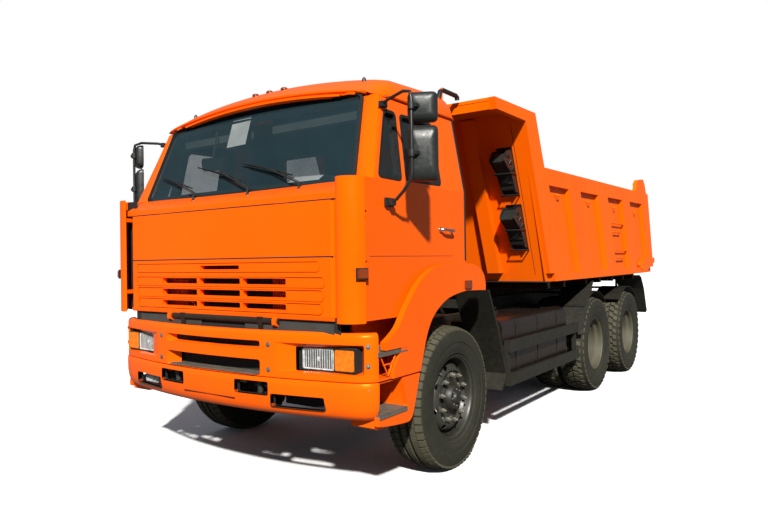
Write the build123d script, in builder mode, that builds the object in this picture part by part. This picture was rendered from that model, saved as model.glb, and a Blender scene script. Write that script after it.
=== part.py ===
"""Heavy three-axle tipper: tilt cab, rear-tipping steel body, twin-wheel bogie.

Frame: millimetres, X to the vehicle's left, Y to its rear, Z up from the ground,
origin on the ground under the middle of the vehicle. Stations along the vehicle are
given as distances behind the front axle and turned into Y by y_at().
"""
from build123d import *
from math import cos, radians, sin
import os

os.makedirs("parts", exist_ok=True)

# ---------------------------------------------------------------- layout
FRONT_OVERHANG = 1290  # bumper face to front axle
WHEELBASE = 3340  # front axle to the leading rear axle
BOGIE_SPACING = 1440  # between the two rear axles
REAR_OVERHANG = 1480  # last axle to the rear corner of the tipping body
LENGTH = FRONT_OVERHANG + WHEELBASE + BOGIE_SPACING + REAR_OVERHANG
FRONT_AXLE_Y = FRONT_OVERHANG - LENGTH / 2
BODY_HALF_WIDTH = 1250
CAB_HALF_WIDTH = BODY_HALF_WIDTH - 50
RUNNING_GAP = 6  # between pieces that move past each other
SEAT_GAP = 0.3  # between pieces that rest on each other


def y_at(station):
    """Y of a station, from its distance behind the front axle."""
    return FRONT_AXLE_Y + station


AXLE_STATIONS = {"front": 0, "mid": WHEELBASE, "rear": WHEELBASE + BOGIE_SPACING}

# ---------------------------------------------------------------- wheels
FRONT_TYRE_R = 521
REAR_TYRE_R = 538
FRONT_TYRE_W = 296
REAR_TYRE_W = 300
FRONT_WHEEL_X = BODY_HALF_WIDTH - 200  # middle of the front tyre
TWIN_OUTER_X = BODY_HALF_WIDTH - 165  # middle of the outer twin tyre
TWIN_SPACING = 345  # middle to middle of the twin tyres
RIM_FLANGE_R = 298
RIM_SEAT_R = 284
RIM_WELL_R = 252
RIM_WALL = 10
RIM_HALF_WIDTH = 118
DISC_THICKNESS = 16
STUD_CIRCLE_R = 167.5
STUD_COUNT = 10
HAND_HOLES = 10
HAND_HOLE_R = 25
HUB_R = 122
HUB_BORE_R = 62
DRUM_R = 205

# ---------------------------------------------------------------- steering
KINGPIN_X = FRONT_WHEEL_X - 200
KINGPIN_R = 22
BOSS_R = 46
BOSS_HALF_HEIGHT = 80
FORK_PLATE = 26
STEER_ARM_LENGTH = 180
TIE_ROD_R = 19

# ---------------------------------------------------------------- chassis
RAIL_OUTER_X = 435
RAIL_FLANGE = 80
RAIL_WALL = 10
RAIL_BOTTOM_Z = 735
RAIL_TOP_Z = 995
RAIL_FRONT = -1150
RAIL_REAR = 5470
SUBFRAME_TOP_Z = 1115
SUBFRAME_FRONT = 1750
SUBFRAME_REAR = 5300
TIP_HINGE_STATION = 5400
TIP_HINGE_Z = 1080
TIP_TUBE_R = 40
TIP_LUG_X = 490
CAB_HINGE_STATION = -1165
CAB_HINGE_Z = 1150
CAB_HINGE_R = 24

# ---------------------------------------------------------------- cab
CAB_SKIN = 40  # whole thickness of a cab wall
CAB_FLOOR_Z = 1200
CAB_BELT_Z = 2030
CAB_EAVE_Z = 2605
CAB_EAVE_X = CAB_HALF_WIDTH - 105
CAB_REAR = 150
DOOR_FRONT = -1110
DOOR_REAR = -30
PANEL_FACE = -1180  # outer face of the front panel
PANEL_HALF_WIDTH = CAB_HALF_WIDTH - 180
PANEL_TOP_Z = 1900
PANEL_SPLIT_Z = 1560
PANEL_BOTTOM_Z = 1190
PANEL_THICKNESS = 40
PANEL_SIDE_R = 26
FLAP_STATION = -1173
FLAP_Z = 1903
FLAP_PIN_R = 6
SCREEN_BOTTOM = (-1020, 2030)
SCREEN_TOP = (-795, 2610)
SCREEN_HALF_WIDTH = (CAB_HALF_WIDTH - 180, CAB_HALF_WIDTH - 215)  # bottom, top
GLASS = 8

# ---------------------------------------------------------------- tipping body
BED_FLOOR_Z = 1305
BED_FLOOR_THICKNESS = 55
BED_LEAN = 0.395  # forward lean of walls and ribs, per unit of height
BED_FRONT = 1800  # foot of the front wall
RAIL_TOP_FRONT_Z = 2392
RAIL_TOP_REAR_Z = 2464
TOP_RAIL_DEPTH = 165
SIDE_RECESS = 45
SIDE_SKIN = 12
GATE_CLEARANCE = 8
GATE_DEPTH = 70
GATE_PIN = (5568, 2578)


def block(x_range, y_range, z_range, mode=Mode.ADD):
    """A rectangular block between two corners, added to the part being made."""
    spans = (x_range, y_range, z_range)
    with Locations(tuple((low + high) / 2 for low, high in spans)):
        Box(*(high - low for low, high in spans), mode=mode)


def side_plate(outline, x_range, mode=Mode.ADD, corner_r=0):
    """A plate cut to a side-view outline of (station, z) points, between two X values."""
    with BuildSketch(Plane.YZ.offset(x_range[0])) as profile:
        with BuildLine():
            Polyline(*[(y_at(station), z) for station, z in outline], close=True)
        make_face()
        if corner_r:
            fillet(profile.vertices(), corner_r)
    extrude(profile.sketch, amount=x_range[1] - x_range[0], mode=mode)


def front_plate(outline, stations, mode=Mode.ADD):
    """A plate cut to a front-view outline of (x, z) points, between two stations."""
    with BuildSketch(Plane.XZ.offset(-y_at(stations[0]))) as profile:
        with BuildLine():
            Polyline(*outline, close=True)
        make_face()
    extrude(profile.sketch, amount=stations[0] - stations[1], mode=mode)


def plan_plate(outline, z_range, mode=Mode.ADD):
    """A plate cut to a plan outline of (x, station) points, between two heights."""
    with BuildSketch(Plane.XY.offset(z_range[0])) as profile:
        with BuildLine():
            Polyline(*[(x, y_at(station)) for x, station in outline], close=True)
        make_face()
    extrude(profile.sketch, amount=z_range[1] - z_range[0], mode=mode)


def cross_tube(radius, x_range, station, z, mode=Mode.ADD):
    """A round bar or tube across the vehicle."""
    with BuildSketch(Plane.YZ.offset(x_range[0])) as profile:
        with Locations((y_at(station), z)):
            Circle(radius)
    extrude(profile.sketch, amount=x_range[1] - x_range[0], mode=mode)


def upright_bar(radius, spot, z_range, mode=Mode.ADD):
    """A round bar standing at an (x, station) spot, between two heights."""
    with BuildSketch(Plane.XY.offset(z_range[0])) as profile:
        with Locations((spot[0], y_at(spot[1]))):
            Circle(radius)
    extrude(profile.sketch, amount=z_range[1] - z_range[0], mode=mode)


def long_tube(radius, start, end, mode=Mode.ADD):
    """A round bar between two (x, station, z) points."""
    first = Vector(start[0], y_at(start[1]), start[2])
    last = Vector(end[0], y_at(end[1]), end[2])
    with BuildSketch(Plane(origin=first, z_dir=last - first)) as profile:
        Circle(radius)
    extrude(profile.sketch, amount=(last - first).length, mode=mode)


def bent_tube(radius, points, bend):
    """A round bar bent along (x, station, z) points."""
    route = [Vector(x, y_at(station), z) for x, station, z in points]
    with BuildLine() as path:
        FilletPolyline(*route, radius=bend)
    with BuildSketch(Plane(origin=route[0], z_dir=route[1] - route[0])) as profile:
        Circle(radius)
    sweep(profile.sketch, path=path.line)


def finish(part, label):
    """Name a finished piece and write it out."""
    part.part.label = label
    export_step(part.part, f"parts/{label}.step")


def write_pair(left, stem):
    """Write a left-hand piece and its mirror image."""
    finish(left, f"{stem}_left")
    with BuildPart() as right:
        mirror(left.part, about=Plane.YZ)
    finish(right, f"{stem}_right")


# ================================================================ wheels
def wheel_plane(x, station, radius, sign):
    """Plane with its local X outboard along the axle and its local Y up."""
    return Plane(origin=(x, y_at(station), radius), x_dir=(sign, 0, 0), z_dir=(0, -sign, 0))


def revolve_profile(plane, outline, mode=Mode.ADD):
    """Revolve an outline of (outboard, radius) points about the plane's local X axis."""
    with BuildSketch(plane) as profile:
        with BuildLine():
            Polyline(*outline, close=True)
        make_face()
    revolve(profile.sketch, axis=Axis(plane.origin, plane.x_dir), mode=mode)


def tyre_outline(radius, width):
    """Half section of a tyre, from bead to bead, as (outboard, radius) points."""
    half = width / 2
    crown, shoulder, flank, bead = half - 32, half - 8, half, half - 26
    drop = (26, 112, 190)  # below the tread: shoulder edge, widest flank, lower flank
    right = [
        (crown, radius),
        (shoulder, radius - drop[0]),
        (flank, radius - drop[1]),
        (shoulder, radius - drop[2]),
        (bead, RIM_FLANGE_R + 2),
        (RIM_HALF_WIDTH - 14, RIM_FLANGE_R + 2),
        (RIM_HALF_WIDTH - 14, RIM_SEAT_R + SEAT_GAP),
    ]
    return right + [(-out, r) for out, r in reversed(right)]


def add_tyre(plane, radius, width):
    revolve_profile(plane, tyre_outline(radius, width))


RIM_STEPS = (
    # outboard position, outer radius of the rim barrel
    (RIM_HALF_WIDTH, RIM_FLANGE_R),
    (RIM_HALF_WIDTH - 12, RIM_FLANGE_R),
    (RIM_HALF_WIDTH - 14, RIM_SEAT_R),
    (RIM_HALF_WIDTH - 50, RIM_SEAT_R - 4),
    (RIM_HALF_WIDTH - 78, RIM_WELL_R),
)


def add_rim_barrel(plane):
    """The rim's drop-centre barrel, open in the middle."""
    outer = list(RIM_STEPS) + [(-out, r) for out, r in reversed(RIM_STEPS)]
    inner = [(out, RIM_WELL_R - RIM_WALL if r == RIM_WELL_R else r - RIM_WALL) for out, r in outer]
    revolve_profile(plane, outer + inner[::-1])


def ring_of_holes(plane, out, circle_r, count, hole_r, depth):
    """Holes through a wheel disc, on a circle around the axle."""
    face = Plane(origin=plane.origin + plane.x_dir * out, z_dir=plane.x_dir)
    with BuildSketch(face) as holes:
        with PolarLocations(circle_r, count):
            Circle(hole_r)
    extrude(holes.sketch, amount=depth, both=True, mode=Mode.SUBTRACT)


def ring_of_nuts(plane, out, length):
    """Wheel nuts standing on the disc."""
    face = Plane(origin=plane.origin + plane.x_dir * out, z_dir=plane.x_dir)
    with BuildSketch(face) as nuts:
        with PolarLocations(STUD_CIRCLE_R, STUD_COUNT):
            RegularPolygon(16, 6)
    extrude(nuts.sketch, amount=length)


FRONT_DISC = (
    # outboard position and radius down the outer face of the front wheel's convex disc
    (-20, RIM_WELL_R - 6),
    (48, 226),
    (62, 205),
    (62, HUB_R - 8),
)


def front_wheel(sign, side):
    """A steered wheel: tyre, and rim with its convex disc, nuts and hub."""
    plane = wheel_plane(sign * FRONT_WHEEL_X, 0, FRONT_TYRE_R, sign)
    with BuildPart() as tyre:
        add_tyre(plane, FRONT_TYRE_R, FRONT_TYRE_W)
    finish(tyre, f"front_tyre_{side}")
    with BuildPart() as rim:
        add_rim_barrel(plane)
        face = [(out, r) for out, r in FRONT_DISC]
        back = [(out - DISC_THICKNESS, r - 2) for out, r in FRONT_DISC]
        revolve_profile(plane, face + back[::-1])
        ring_of_holes(plane, 30, 208, HAND_HOLES, HAND_HOLE_R, 55)
        ring_of_nuts(plane, FRONT_DISC[-1][0] - 1, 24)
        revolve_profile(
            plane,
            [(-60, HUB_BORE_R), (-60, 150), (40, 150), (46, HUB_R), (80, HUB_R - 8), (86, 96),
             (122, 84), (128, 50), (140, 44), (140, 0), (20, 0), (20, HUB_BORE_R)],
        )
        revolve_profile(
            plane, [(-58, 64), (-58, DRUM_R), (-160, DRUM_R), (-160, 190), (-76, 185), (-76, 64)]
        )
    finish(rim, f"front_rim_{side}")


REAR_DISC_OUT = -TWIN_SPACING / 2  # clamping plane between the twin rims, from the outer tyre's middle


def rear_wheels(sign, side, name):
    """Twin tyres as one piece, twin rims with hub and drum as another."""
    station = AXLE_STATIONS[name]
    outer = wheel_plane(sign * TWIN_OUTER_X, station, REAR_TYRE_R, sign)
    inner = wheel_plane(sign * (TWIN_OUTER_X - TWIN_SPACING), station, REAR_TYRE_R, sign)
    with BuildPart() as tyres:
        for plane in (outer, inner):
            add_tyre(plane, REAR_TYRE_R, REAR_TYRE_W)
    finish(tyres, f"{name}_tyres_{side}")
    clamp = REAR_DISC_OUT
    with BuildPart() as rims:
        for plane in (outer, inner):
            add_rim_barrel(plane)
        outer_disc = [
            (clamp, 118), (clamp, 216), (clamp + 44, 244), (clamp + 70, 277), (clamp + 90, 277),
            (clamp + 60, 238), (clamp + DISC_THICKNESS, 208), (clamp + DISC_THICKNESS, 118),
        ]
        inner_disc = [(2 * clamp - out, r) for out, r in outer_disc]
        revolve_profile(outer, outer_disc)
        revolve_profile(outer, inner_disc)
        ring_of_holes(outer, clamp, 212, HAND_HOLES, HAND_HOLE_R - 4, 70)
        ring_of_nuts(outer, clamp + DISC_THICKNESS - 1, 26)
        revolve_profile(
            outer,
            [(clamp - 150, 96), (clamp - 150, 118), (clamp - 20, 126), (clamp + 60, HUB_R - 6),
             (clamp + 92, 104), (clamp + 98, 60), (clamp + 98, 0), (clamp - 20, 0), (clamp - 20, 96)],
        )
        revolve_profile(
            outer,
            [(clamp - 34, 110), (clamp - 34, DRUM_R), (clamp - 190, DRUM_R + 6), (clamp - 190, 190),
             (clamp - 48, 186), (clamp - 48, 110)],
        )
    finish(rims, f"{name}_rims_{side}")


for sign, side in ((1, "left"), (-1, "right")):
    front_wheel(sign, side)
    for name in ("mid", "rear"):
        rear_wheels(sign, side, name)

# ================================================================ steering and axles
FORK_INNER = BOSS_HALF_HEIGHT + RUNNING_GAP
with BuildPart() as knuckle:
    hub_z = FRONT_TYRE_R
    # fork arms above and below the beam's boss, joined outboard of it
    for low, high in ((FORK_INNER, FORK_INNER + FORK_PLATE), (-FORK_INNER - FORK_PLATE, -FORK_INNER)):
        plan_plate(
            [(KINGPIN_X - 46, -46), (KINGPIN_X + 84, -60), (KINGPIN_X + 84, 60), (KINGPIN_X - 46, 46)],
            (hub_z + low, hub_z + high),
        )
    block(
        (KINGPIN_X + 56, KINGPIN_X + 84),
        (y_at(-60), y_at(60)),
        (hub_z - FORK_INNER - FORK_PLATE, hub_z + FORK_INNER + FORK_PLATE),
    )
    cross_tube(HUB_BORE_R - SEAT_GAP, (KINGPIN_X + 80, KINGPIN_X + 165), 0, hub_z)
    cross_tube(38, (KINGPIN_X + 110, FRONT_WHEEL_X + 10), 0, hub_z)
    with BuildSketch(Plane.XY.offset(hub_z - FORK_INNER - FORK_PLATE)) as pin:
        with Locations((KINGPIN_X, y_at(0))):
            Circle(KINGPIN_R)
    extrude(pin.sketch, amount=2 * (FORK_INNER + FORK_PLATE))
    # steering arm, rearward from the lower fork arm
    plan_plate(
        [(KINGPIN_X - 46, 30), (KINGPIN_X + 20, 40), (KINGPIN_X - 30, STEER_ARM_LENGTH + 24),
         (KINGPIN_X - 78, STEER_ARM_LENGTH + 24)],
        (hub_z - FORK_INNER - FORK_PLATE, hub_z - FORK_INNER),
    )
write_pair(knuckle, "knuckle")

TIE_ROD_X = KINGPIN_X - 54
TIE_END_HEIGHT = 52
TIE_ROD_Z = FRONT_TYRE_R - FORK_INNER - FORK_PLATE - SEAT_GAP - TIE_END_HEIGHT / 2
with BuildPart() as tie_rod:
    cross_tube(TIE_ROD_R, (-TIE_ROD_X, TIE_ROD_X), STEER_ARM_LENGTH, TIE_ROD_Z)
    for x in (-TIE_ROD_X, TIE_ROD_X):
        with Locations((x, y_at(STEER_ARM_LENGTH), TIE_ROD_Z)):
            Cylinder(28, TIE_END_HEIGHT)
finish(tie_rod, "tie_rod")

BEAM_DROP = 95
with BuildPart() as front_axle:
    z = FRONT_TYRE_R
    outline = [(-KINGPIN_X + 30, z + 58), (-KINGPIN_X + 30, z - 40), (-600, z - BEAM_DROP - 62),
               (600, z - BEAM_DROP - 62), (KINGPIN_X - 30, z - 40), (KINGPIN_X - 30, z + 58),
               (620, z - BEAM_DROP + 52), (-620, z - BEAM_DROP + 52)]
    front_plate(outline, (-48, 48))
    web = [(-570, z - BEAM_DROP - 40), (570, z - BEAM_DROP - 40), (570, z - BEAM_DROP + 30),
           (-570, z - BEAM_DROP + 30)]
    front_plate(web, (-50, -16), mode=Mode.SUBTRACT)
    front_plate(web, (16, 50), mode=Mode.SUBTRACT)
    for x in (-KINGPIN_X, KINGPIN_X):
        with Locations((x, y_at(0), z)):
            Cylinder(BOSS_R, 2 * BOSS_HALF_HEIGHT)
            Cylinder(KINGPIN_R + SEAT_GAP, 3 * BOSS_HALF_HEIGHT, mode=Mode.SUBTRACT)
finish(front_axle, "front_axle")

AXLE_TUBE_R = 78
BOGIE_CENTRE = WHEELBASE + BOGIE_SPACING / 2
REAR_SPRING_X = 500
SHAFT_R = 48
HUB_FACE_X = TWIN_OUTER_X + REAR_DISC_OUT - 150
BRAKE_CHAMBER_X = 330
with BuildPart() as drive_axles:
    for name in ("mid", "rear"):
        station, z = AXLE_STATIONS[name], REAR_TYRE_R
        cross_tube(AXLE_TUBE_R, (-HUB_FACE_X + 2, HUB_FACE_X - 2), station, z)
        with Locations((0, y_at(station), z)):
            Sphere(210)
        with Locations(Plane(origin=(0, y_at(station - 250), z + 10), z_dir=(0, 1, 0))):
            Cylinder(110, 220)
        cross_tube(54, (-HUB_FACE_X - 130, HUB_FACE_X + 130), station, z)
        for x in (-REAR_SPRING_X, REAR_SPRING_X):
            block((x - 60, x + 60), (y_at(station - 60), y_at(station + 60)), (z + 40, z + AXLE_TUBE_R + 42))
        # brake chambers behind the axle
        for x in (-BRAKE_CHAMBER_X, BRAKE_CHAMBER_X):
            long_tube(72, (x, station + 50, z + 20), (x, station + 150, z + 20))
            long_tube(60, (x, station + 150, z + 20), (x, station + 230, z + 20))
    # propeller shafts
    long_tube(SHAFT_R, (0, 1266, 640), (0, WHEELBASE - 362, REAR_TYRE_R + 10))
    shaft_z = REAR_TYRE_R + 10
    long_tube(SHAFT_R, (0, WHEELBASE + 208, shaft_z), (0, WHEELBASE + BOGIE_SPACING - 358, shaft_z))
finish(drive_axles, "drive_axles")

SPRING_X = 395
FRONT_SPRING_HALF = 780
REAR_SPRING_HALF = BOGIE_SPACING / 2 + 20
with BuildPart() as springs:
    # front leaves, their eyes and hangers
    leaf_seat = FRONT_TYRE_R - BEAM_DROP + 52
    for index in range(4):
        half = FRONT_SPRING_HALF - 150 * index
        sag = 108 * (half / FRONT_SPRING_HALF) ** 2
        low = leaf_seat + 16 * (3 - index) + SEAT_GAP
        with BuildSketch(Plane.YZ.offset(SPRING_X - 40)) as leaf:
            with BuildLine():
                lower = ThreePointArc((y_at(-half), low + sag), (y_at(0), low), (y_at(half), low + sag))
                upper = ThreePointArc(
                    (y_at(-half), low + sag + 16), (y_at(0), low + 16), (y_at(half), low + sag + 16)
                )
                Line(lower @ 0, upper @ 0)
                Line(lower @ 1, upper @ 1)
            make_face()
        extrude(leaf.sketch, amount=80)
    eye_z = leaf_seat + 48 + 108 + 20
    for station in (-FRONT_SPRING_HALF, FRONT_SPRING_HALF):
        cross_tube(34, (SPRING_X - 40, SPRING_X + 40), station, eye_z)
        side_plate(
            [(station - 60, RAIL_BOTTOM_Z - SEAT_GAP), (station + 60, RAIL_BOTTOM_Z - SEAT_GAP),
             (station + 30, eye_z), (station - 30, eye_z)],
            (SPRING_X - 44, SPRING_X + 44),
        )
    block((SPRING_X - 46, SPRING_X + 46), (y_at(-70), y_at(70)), (leaf_seat + 60, leaf_seat + 86))
    # rear leaves, turned over on their trunnions
    seat = REAR_TYRE_R + AXLE_TUBE_R + 42 + SEAT_GAP
    for index in range(5):
        half = REAR_SPRING_HALF - 120 * index
        rise = 70 * (half / REAR_SPRING_HALF) ** 2
        top = seat + 70 + 18 * (index + 1)
        with BuildSketch(Plane.YZ.offset(REAR_SPRING_X - 45)) as leaf:
            with BuildLine():
                upper = ThreePointArc(
                    (y_at(BOGIE_CENTRE - half), top - rise), (y_at(BOGIE_CENTRE), top),
                    (y_at(BOGIE_CENTRE + half), top - rise),
                )
                lower = ThreePointArc(
                    (y_at(BOGIE_CENTRE - half), top - rise - 18), (y_at(BOGIE_CENTRE), top - 18),
                    (y_at(BOGIE_CENTRE + half), top - rise - 18),
                )
                Line(lower @ 0, upper @ 0)
                Line(lower @ 1, upper @ 1)
            make_face()
        extrude(leaf.sketch, amount=90)
    # trunnion bracket that carries the pack under the rail
    side_plate(
        [(BOGIE_CENTRE - 170, RAIL_BOTTOM_Z + 60), (BOGIE_CENTRE - 90, REAR_TYRE_R - 60),
         (BOGIE_CENTRE + 90, REAR_TYRE_R - 60), (BOGIE_CENTRE + 170, RAIL_BOTTOM_Z + 60)],
        (RAIL_OUTER_X + SEAT_GAP, REAR_SPRING_X - 45),
    )
    cross_tube(60, (RAIL_OUTER_X + 10, REAR_SPRING_X + 45), BOGIE_CENTRE, REAR_TYRE_R)
    # torque rods from the trunnion to each axle
    for sign in (-1, 1):
        axle_side = BOGIE_CENTRE + sign * (BOGIE_SPACING / 2 - AXLE_TUBE_R - SEAT_GAP)
        long_tube(24, (REAR_SPRING_X, BOGIE_CENTRE, REAR_TYRE_R), (REAR_SPRING_X, axle_side, REAR_TYRE_R))
    # front dampers, from the axle beam up to the rail
    damper_x = RAIL_OUTER_X + 65
    beam_face = -48 - SEAT_GAP
    block((damper_x - 20, damper_x + 20), (y_at(beam_face - 60), y_at(beam_face)), (400, 460))
    long_tube(26, (damper_x, beam_face - 34, 430), (damper_x, -190, 640))
    long_tube(34, (damper_x, -185, 630), (damper_x, -260, 800))
    block((RAIL_OUTER_X + SEAT_GAP, damper_x + 26), (y_at(-295), y_at(-225)), (790, 840))
    block(
        (REAR_SPRING_X - 50, REAR_SPRING_X + 50), (y_at(BOGIE_CENTRE - 60), y_at(BOGIE_CENTRE + 60)),
        (REAR_TYRE_R, seat + 71),
    )
    mirror(about=Plane.YZ)
finish(springs, "springs")

# ================================================================ chassis frame
CROSS_MEMBERS = (
    # station, length along the vehicle, height
    (-1080, 120, 180),
    (1080, 110, 120),
    (1980, 120, 150),
    (3120, 110, 150),
    (BOGIE_CENTRE, 300, 200),
    (5330, 120, 200),
)
TOW_Z = 850
TOW_SPACING = (160, 100)
TOW_HOLE_R = 10.5
HOIST_STATION = 2700
HOIST_PIVOT_Z = 950
HOIST_BARREL_R = 105
TRUNNION_R = 30
with BuildPart() as frame:
    flange_x, web_x = RAIL_OUTER_X - RAIL_FLANGE, RAIL_OUTER_X - RAIL_WALL
    with BuildSketch(Plane.XZ.offset(-y_at(RAIL_FRONT))) as rail:
        with BuildLine():
            Polyline(
                (RAIL_OUTER_X, RAIL_BOTTOM_Z), (RAIL_OUTER_X, RAIL_TOP_Z),
                (flange_x, RAIL_TOP_Z), (flange_x, RAIL_TOP_Z - RAIL_WALL),
                (web_x, RAIL_TOP_Z - RAIL_WALL), (web_x, RAIL_BOTTOM_Z + RAIL_WALL),
                (flange_x, RAIL_BOTTOM_Z + RAIL_WALL), (flange_x, RAIL_BOTTOM_Z),
                close=True,
            )
        make_face()
    extrude(rail.sketch, amount=RAIL_FRONT - RAIL_REAR)
    mirror(about=Plane.YZ)
    middle_z = (RAIL_BOTTOM_Z + RAIL_TOP_Z) / 2
    for station, length, height in CROSS_MEMBERS:
        block(
            (-RAIL_OUTER_X + RAIL_WALL, RAIL_OUTER_X - RAIL_WALL),
            (y_at(station - length / 2), y_at(station + length / 2)),
            (middle_z - height / 2, middle_z + height / 2),
        )
    # end plate with the four holes of a tow coupling
    block(
        (-RAIL_OUTER_X + RAIL_WALL, RAIL_OUTER_X - RAIL_WALL), (y_at(RAIL_REAR - 14), y_at(RAIL_REAR)),
        (RAIL_BOTTOM_Z, RAIL_TOP_Z),
    )
    with BuildSketch(Plane.XZ.offset(-y_at(RAIL_REAR + 6))) as holes:
        with Locations((0, TOW_Z)):
            with GridLocations(TOW_SPACING[0], TOW_SPACING[1], 2, 2):
                Circle(TOW_HOLE_R)
    extrude(holes.sketch, amount=26, mode=Mode.SUBTRACT)
    # front beam across the rails, under the cab's lip
    block((-860, 860), (y_at(-1170), y_at(-1060)), (1015, 1070))
    for x in (-RAIL_OUTER_X + 40, RAIL_OUTER_X - 40):
        block((x - 40, x + 40), (y_at(-1149), y_at(-1060)), (RAIL_TOP_Z, 1020))
        side_plate(
            [(-1169, 1060), (-1070, 1060), (CAB_HINGE_STATION + 30, CAB_HINGE_Z + 26),
             (CAB_HINGE_STATION - 30, CAB_HINGE_Z + 26)],
            (x - 20, x + 20),
        )
    cross_tube(CAB_HINGE_R, (-560, 560), CAB_HINGE_STATION, CAB_HINGE_Z)
    # rear cab support, an arch over the gearbox
    for x in (-RAIL_OUTER_X + 40, RAIL_OUTER_X - 40):
        block((x - 40, x + 40), (y_at(60), y_at(140)), (RAIL_TOP_Z, 1060))
finish(frame, "frame")

with BuildPart() as subframe:
    low = RAIL_TOP_Z
    for x in (-RAIL_OUTER_X + RAIL_FLANGE / 2, RAIL_OUTER_X - RAIL_FLANGE / 2):
        block((x - 35, x + 35), (y_at(SUBFRAME_FRONT), y_at(SUBFRAME_REAR)), (low, SUBFRAME_TOP_Z))
        # hinge bracket at the end of the rail
        side_plate(
            [(5240, low), (5465, low), (5465, TIP_HINGE_Z + 20), (TIP_HINGE_STATION, TIP_HINGE_Z + 70),
             (5330, TIP_HINGE_Z + 60), (5240, low + 20)],
            (x - 30, x + 30),
        )
    for station in (1900, 3900, 4900):
        block(
            (-RAIL_OUTER_X + 70, RAIL_OUTER_X - 70), (y_at(station - 40), y_at(station + 40)),
            (low + 20, SUBFRAME_TOP_Z - 10),
        )
    cross_tube(TIP_TUBE_R, (-TIP_LUG_X - 50, TIP_LUG_X + 50), TIP_HINGE_STATION, TIP_HINGE_Z)
    # plates inside the rails that carry the hoist's trunnions
    plate_y = (y_at(2040 + SEAT_GAP), y_at(3065 - SEAT_GAP))
    for x in (-HOIST_BARREL_R - 75, HOIST_BARREL_R + 45):
        block((x, x + 30), plate_y, (HOIST_PIVOT_Z - 80, HOIST_PIVOT_Z + 60))
    for x in (-HOIST_BARREL_R - 76, HOIST_BARREL_R + 44):
        cross_tube(TRUNNION_R + SEAT_GAP, (x, x + 32), HOIST_STATION, HOIST_PIVOT_Z, mode=Mode.SUBTRACT)
finish(subframe, "subframe")

SILENCER_R = 88
SILENCER_STATION = -1050
SILENCER_Z = 650
SILENCER_STRAP_Z = (RAIL_BOTTOM_Z + RAIL_TOP_Z) / 2 - CROSS_MEMBERS[0][2] / 2 - SEAT_GAP
with BuildPart() as engine_block:
    front_plate(
        [(-400, 1350), (-400, 1120), (-300, 1000), (-260, 720), (-180, 640), (180, 640), (260, 720),
         (300, 1000), (400, 1120), (400, 1350), (300, 1400), (-300, 1400)],
        (-600, 620),
    )
    # feet against the rails
    foot_x = RAIL_OUTER_X - RAIL_WALL - SEAT_GAP
    block((-foot_x, foot_x), (y_at(-300), y_at(-200)), (840, 900))
    # gearbox behind it
    with BuildSketch(Plane.XZ.offset(-y_at(620))) as bell:
        with Locations((0, 860)):
            Rectangle(520, 420)
        fillet(bell.vertices(), 60)
    with BuildSketch(Plane.XZ.offset(-y_at(1020))) as tail:
        with Locations((0, 790)):
            Rectangle(360, 340)
        fillet(tail.vertices(), 50)
    loft(sections=[bell.sketch.faces()[0], tail.sketch.faces()[0]])
    with Locations(Plane(origin=(0, y_at(1130), 680), z_dir=(0, 1, 0))):
        Cylinder(110, 262)
    # silencer across the front, under the radiator, with its pipe
    cross_tube(SILENCER_R, (-300, 300), SILENCER_STATION, SILENCER_Z)
    long_tube(32, (-200, -590, 720), (-200, SILENCER_STATION + 40, SILENCER_Z + 10))
    strap_y = (y_at(SILENCER_STATION - 30), y_at(SILENCER_STATION + 30))
    block((-25, 25), strap_y, (SILENCER_Z + 60, SILENCER_STRAP_Z))
finish(engine_block, "engine_block")

with BuildPart() as radiator:
    block((-345, 345), (y_at(-930), y_at(-790)), (800, 1030))
    block((-390, 390), (y_at(-930), y_at(-790)), (1020, 1430))
    block((-410, 410), (y_at(-940), y_at(-780)), (1400, 1440))
    # feet on the rails
    for x in (-425, 365):
        block((x, x + 60), (y_at(-920), y_at(-800)), (RAIL_TOP_Z + SEAT_GAP, 1060))
finish(radiator, "radiator")

# ================================================================ bumpers, lamps and steps
BUMPER_TOP_Z = 1100
BUMPER_SPLIT_Z = 840
BUMPER_BOTTOM_Z = 585
BUMPER_WALL = 45
BUMPER_END = -1045
BUMPER_CROWN = 62
BUMPER_TURN = 120
BUMPER_CORNER_R = 150
BUMPER_CORNER_X = BODY_HALF_WIDTH - 130


def bumper_shell(z_range):
    """Curved bumper wall between two heights, open to the rear."""
    front = -FRONT_OVERHANG
    for inset, mode in ((0, Mode.ADD), (BUMPER_WALL, Mode.SUBTRACT)):
        corner = BUMPER_CORNER_X - inset
        half = BODY_HALF_WIDTH - inset
        bow = y_at(front + BUMPER_CROWN + inset)
        turn = bow + BUMPER_TURN
        back = y_at(BUMPER_END + inset)
        with BuildSketch(Plane.XY.offset(z_range[0])) as plan:
            with BuildLine():
                ThreePointArc((-corner, bow), (0, y_at(front + inset)), (corner, bow))
                RadiusArc((corner, bow), (half, turn), -BUMPER_CORNER_R)
                Polyline((half, turn), (half, back), (-half, back), (-half, turn))
                RadiusArc((-half, turn), (-corner, bow), -BUMPER_CORNER_R)
            make_face()
        extrude(plan.sketch, amount=z_range[1] - z_range[0], mode=mode)


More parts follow.
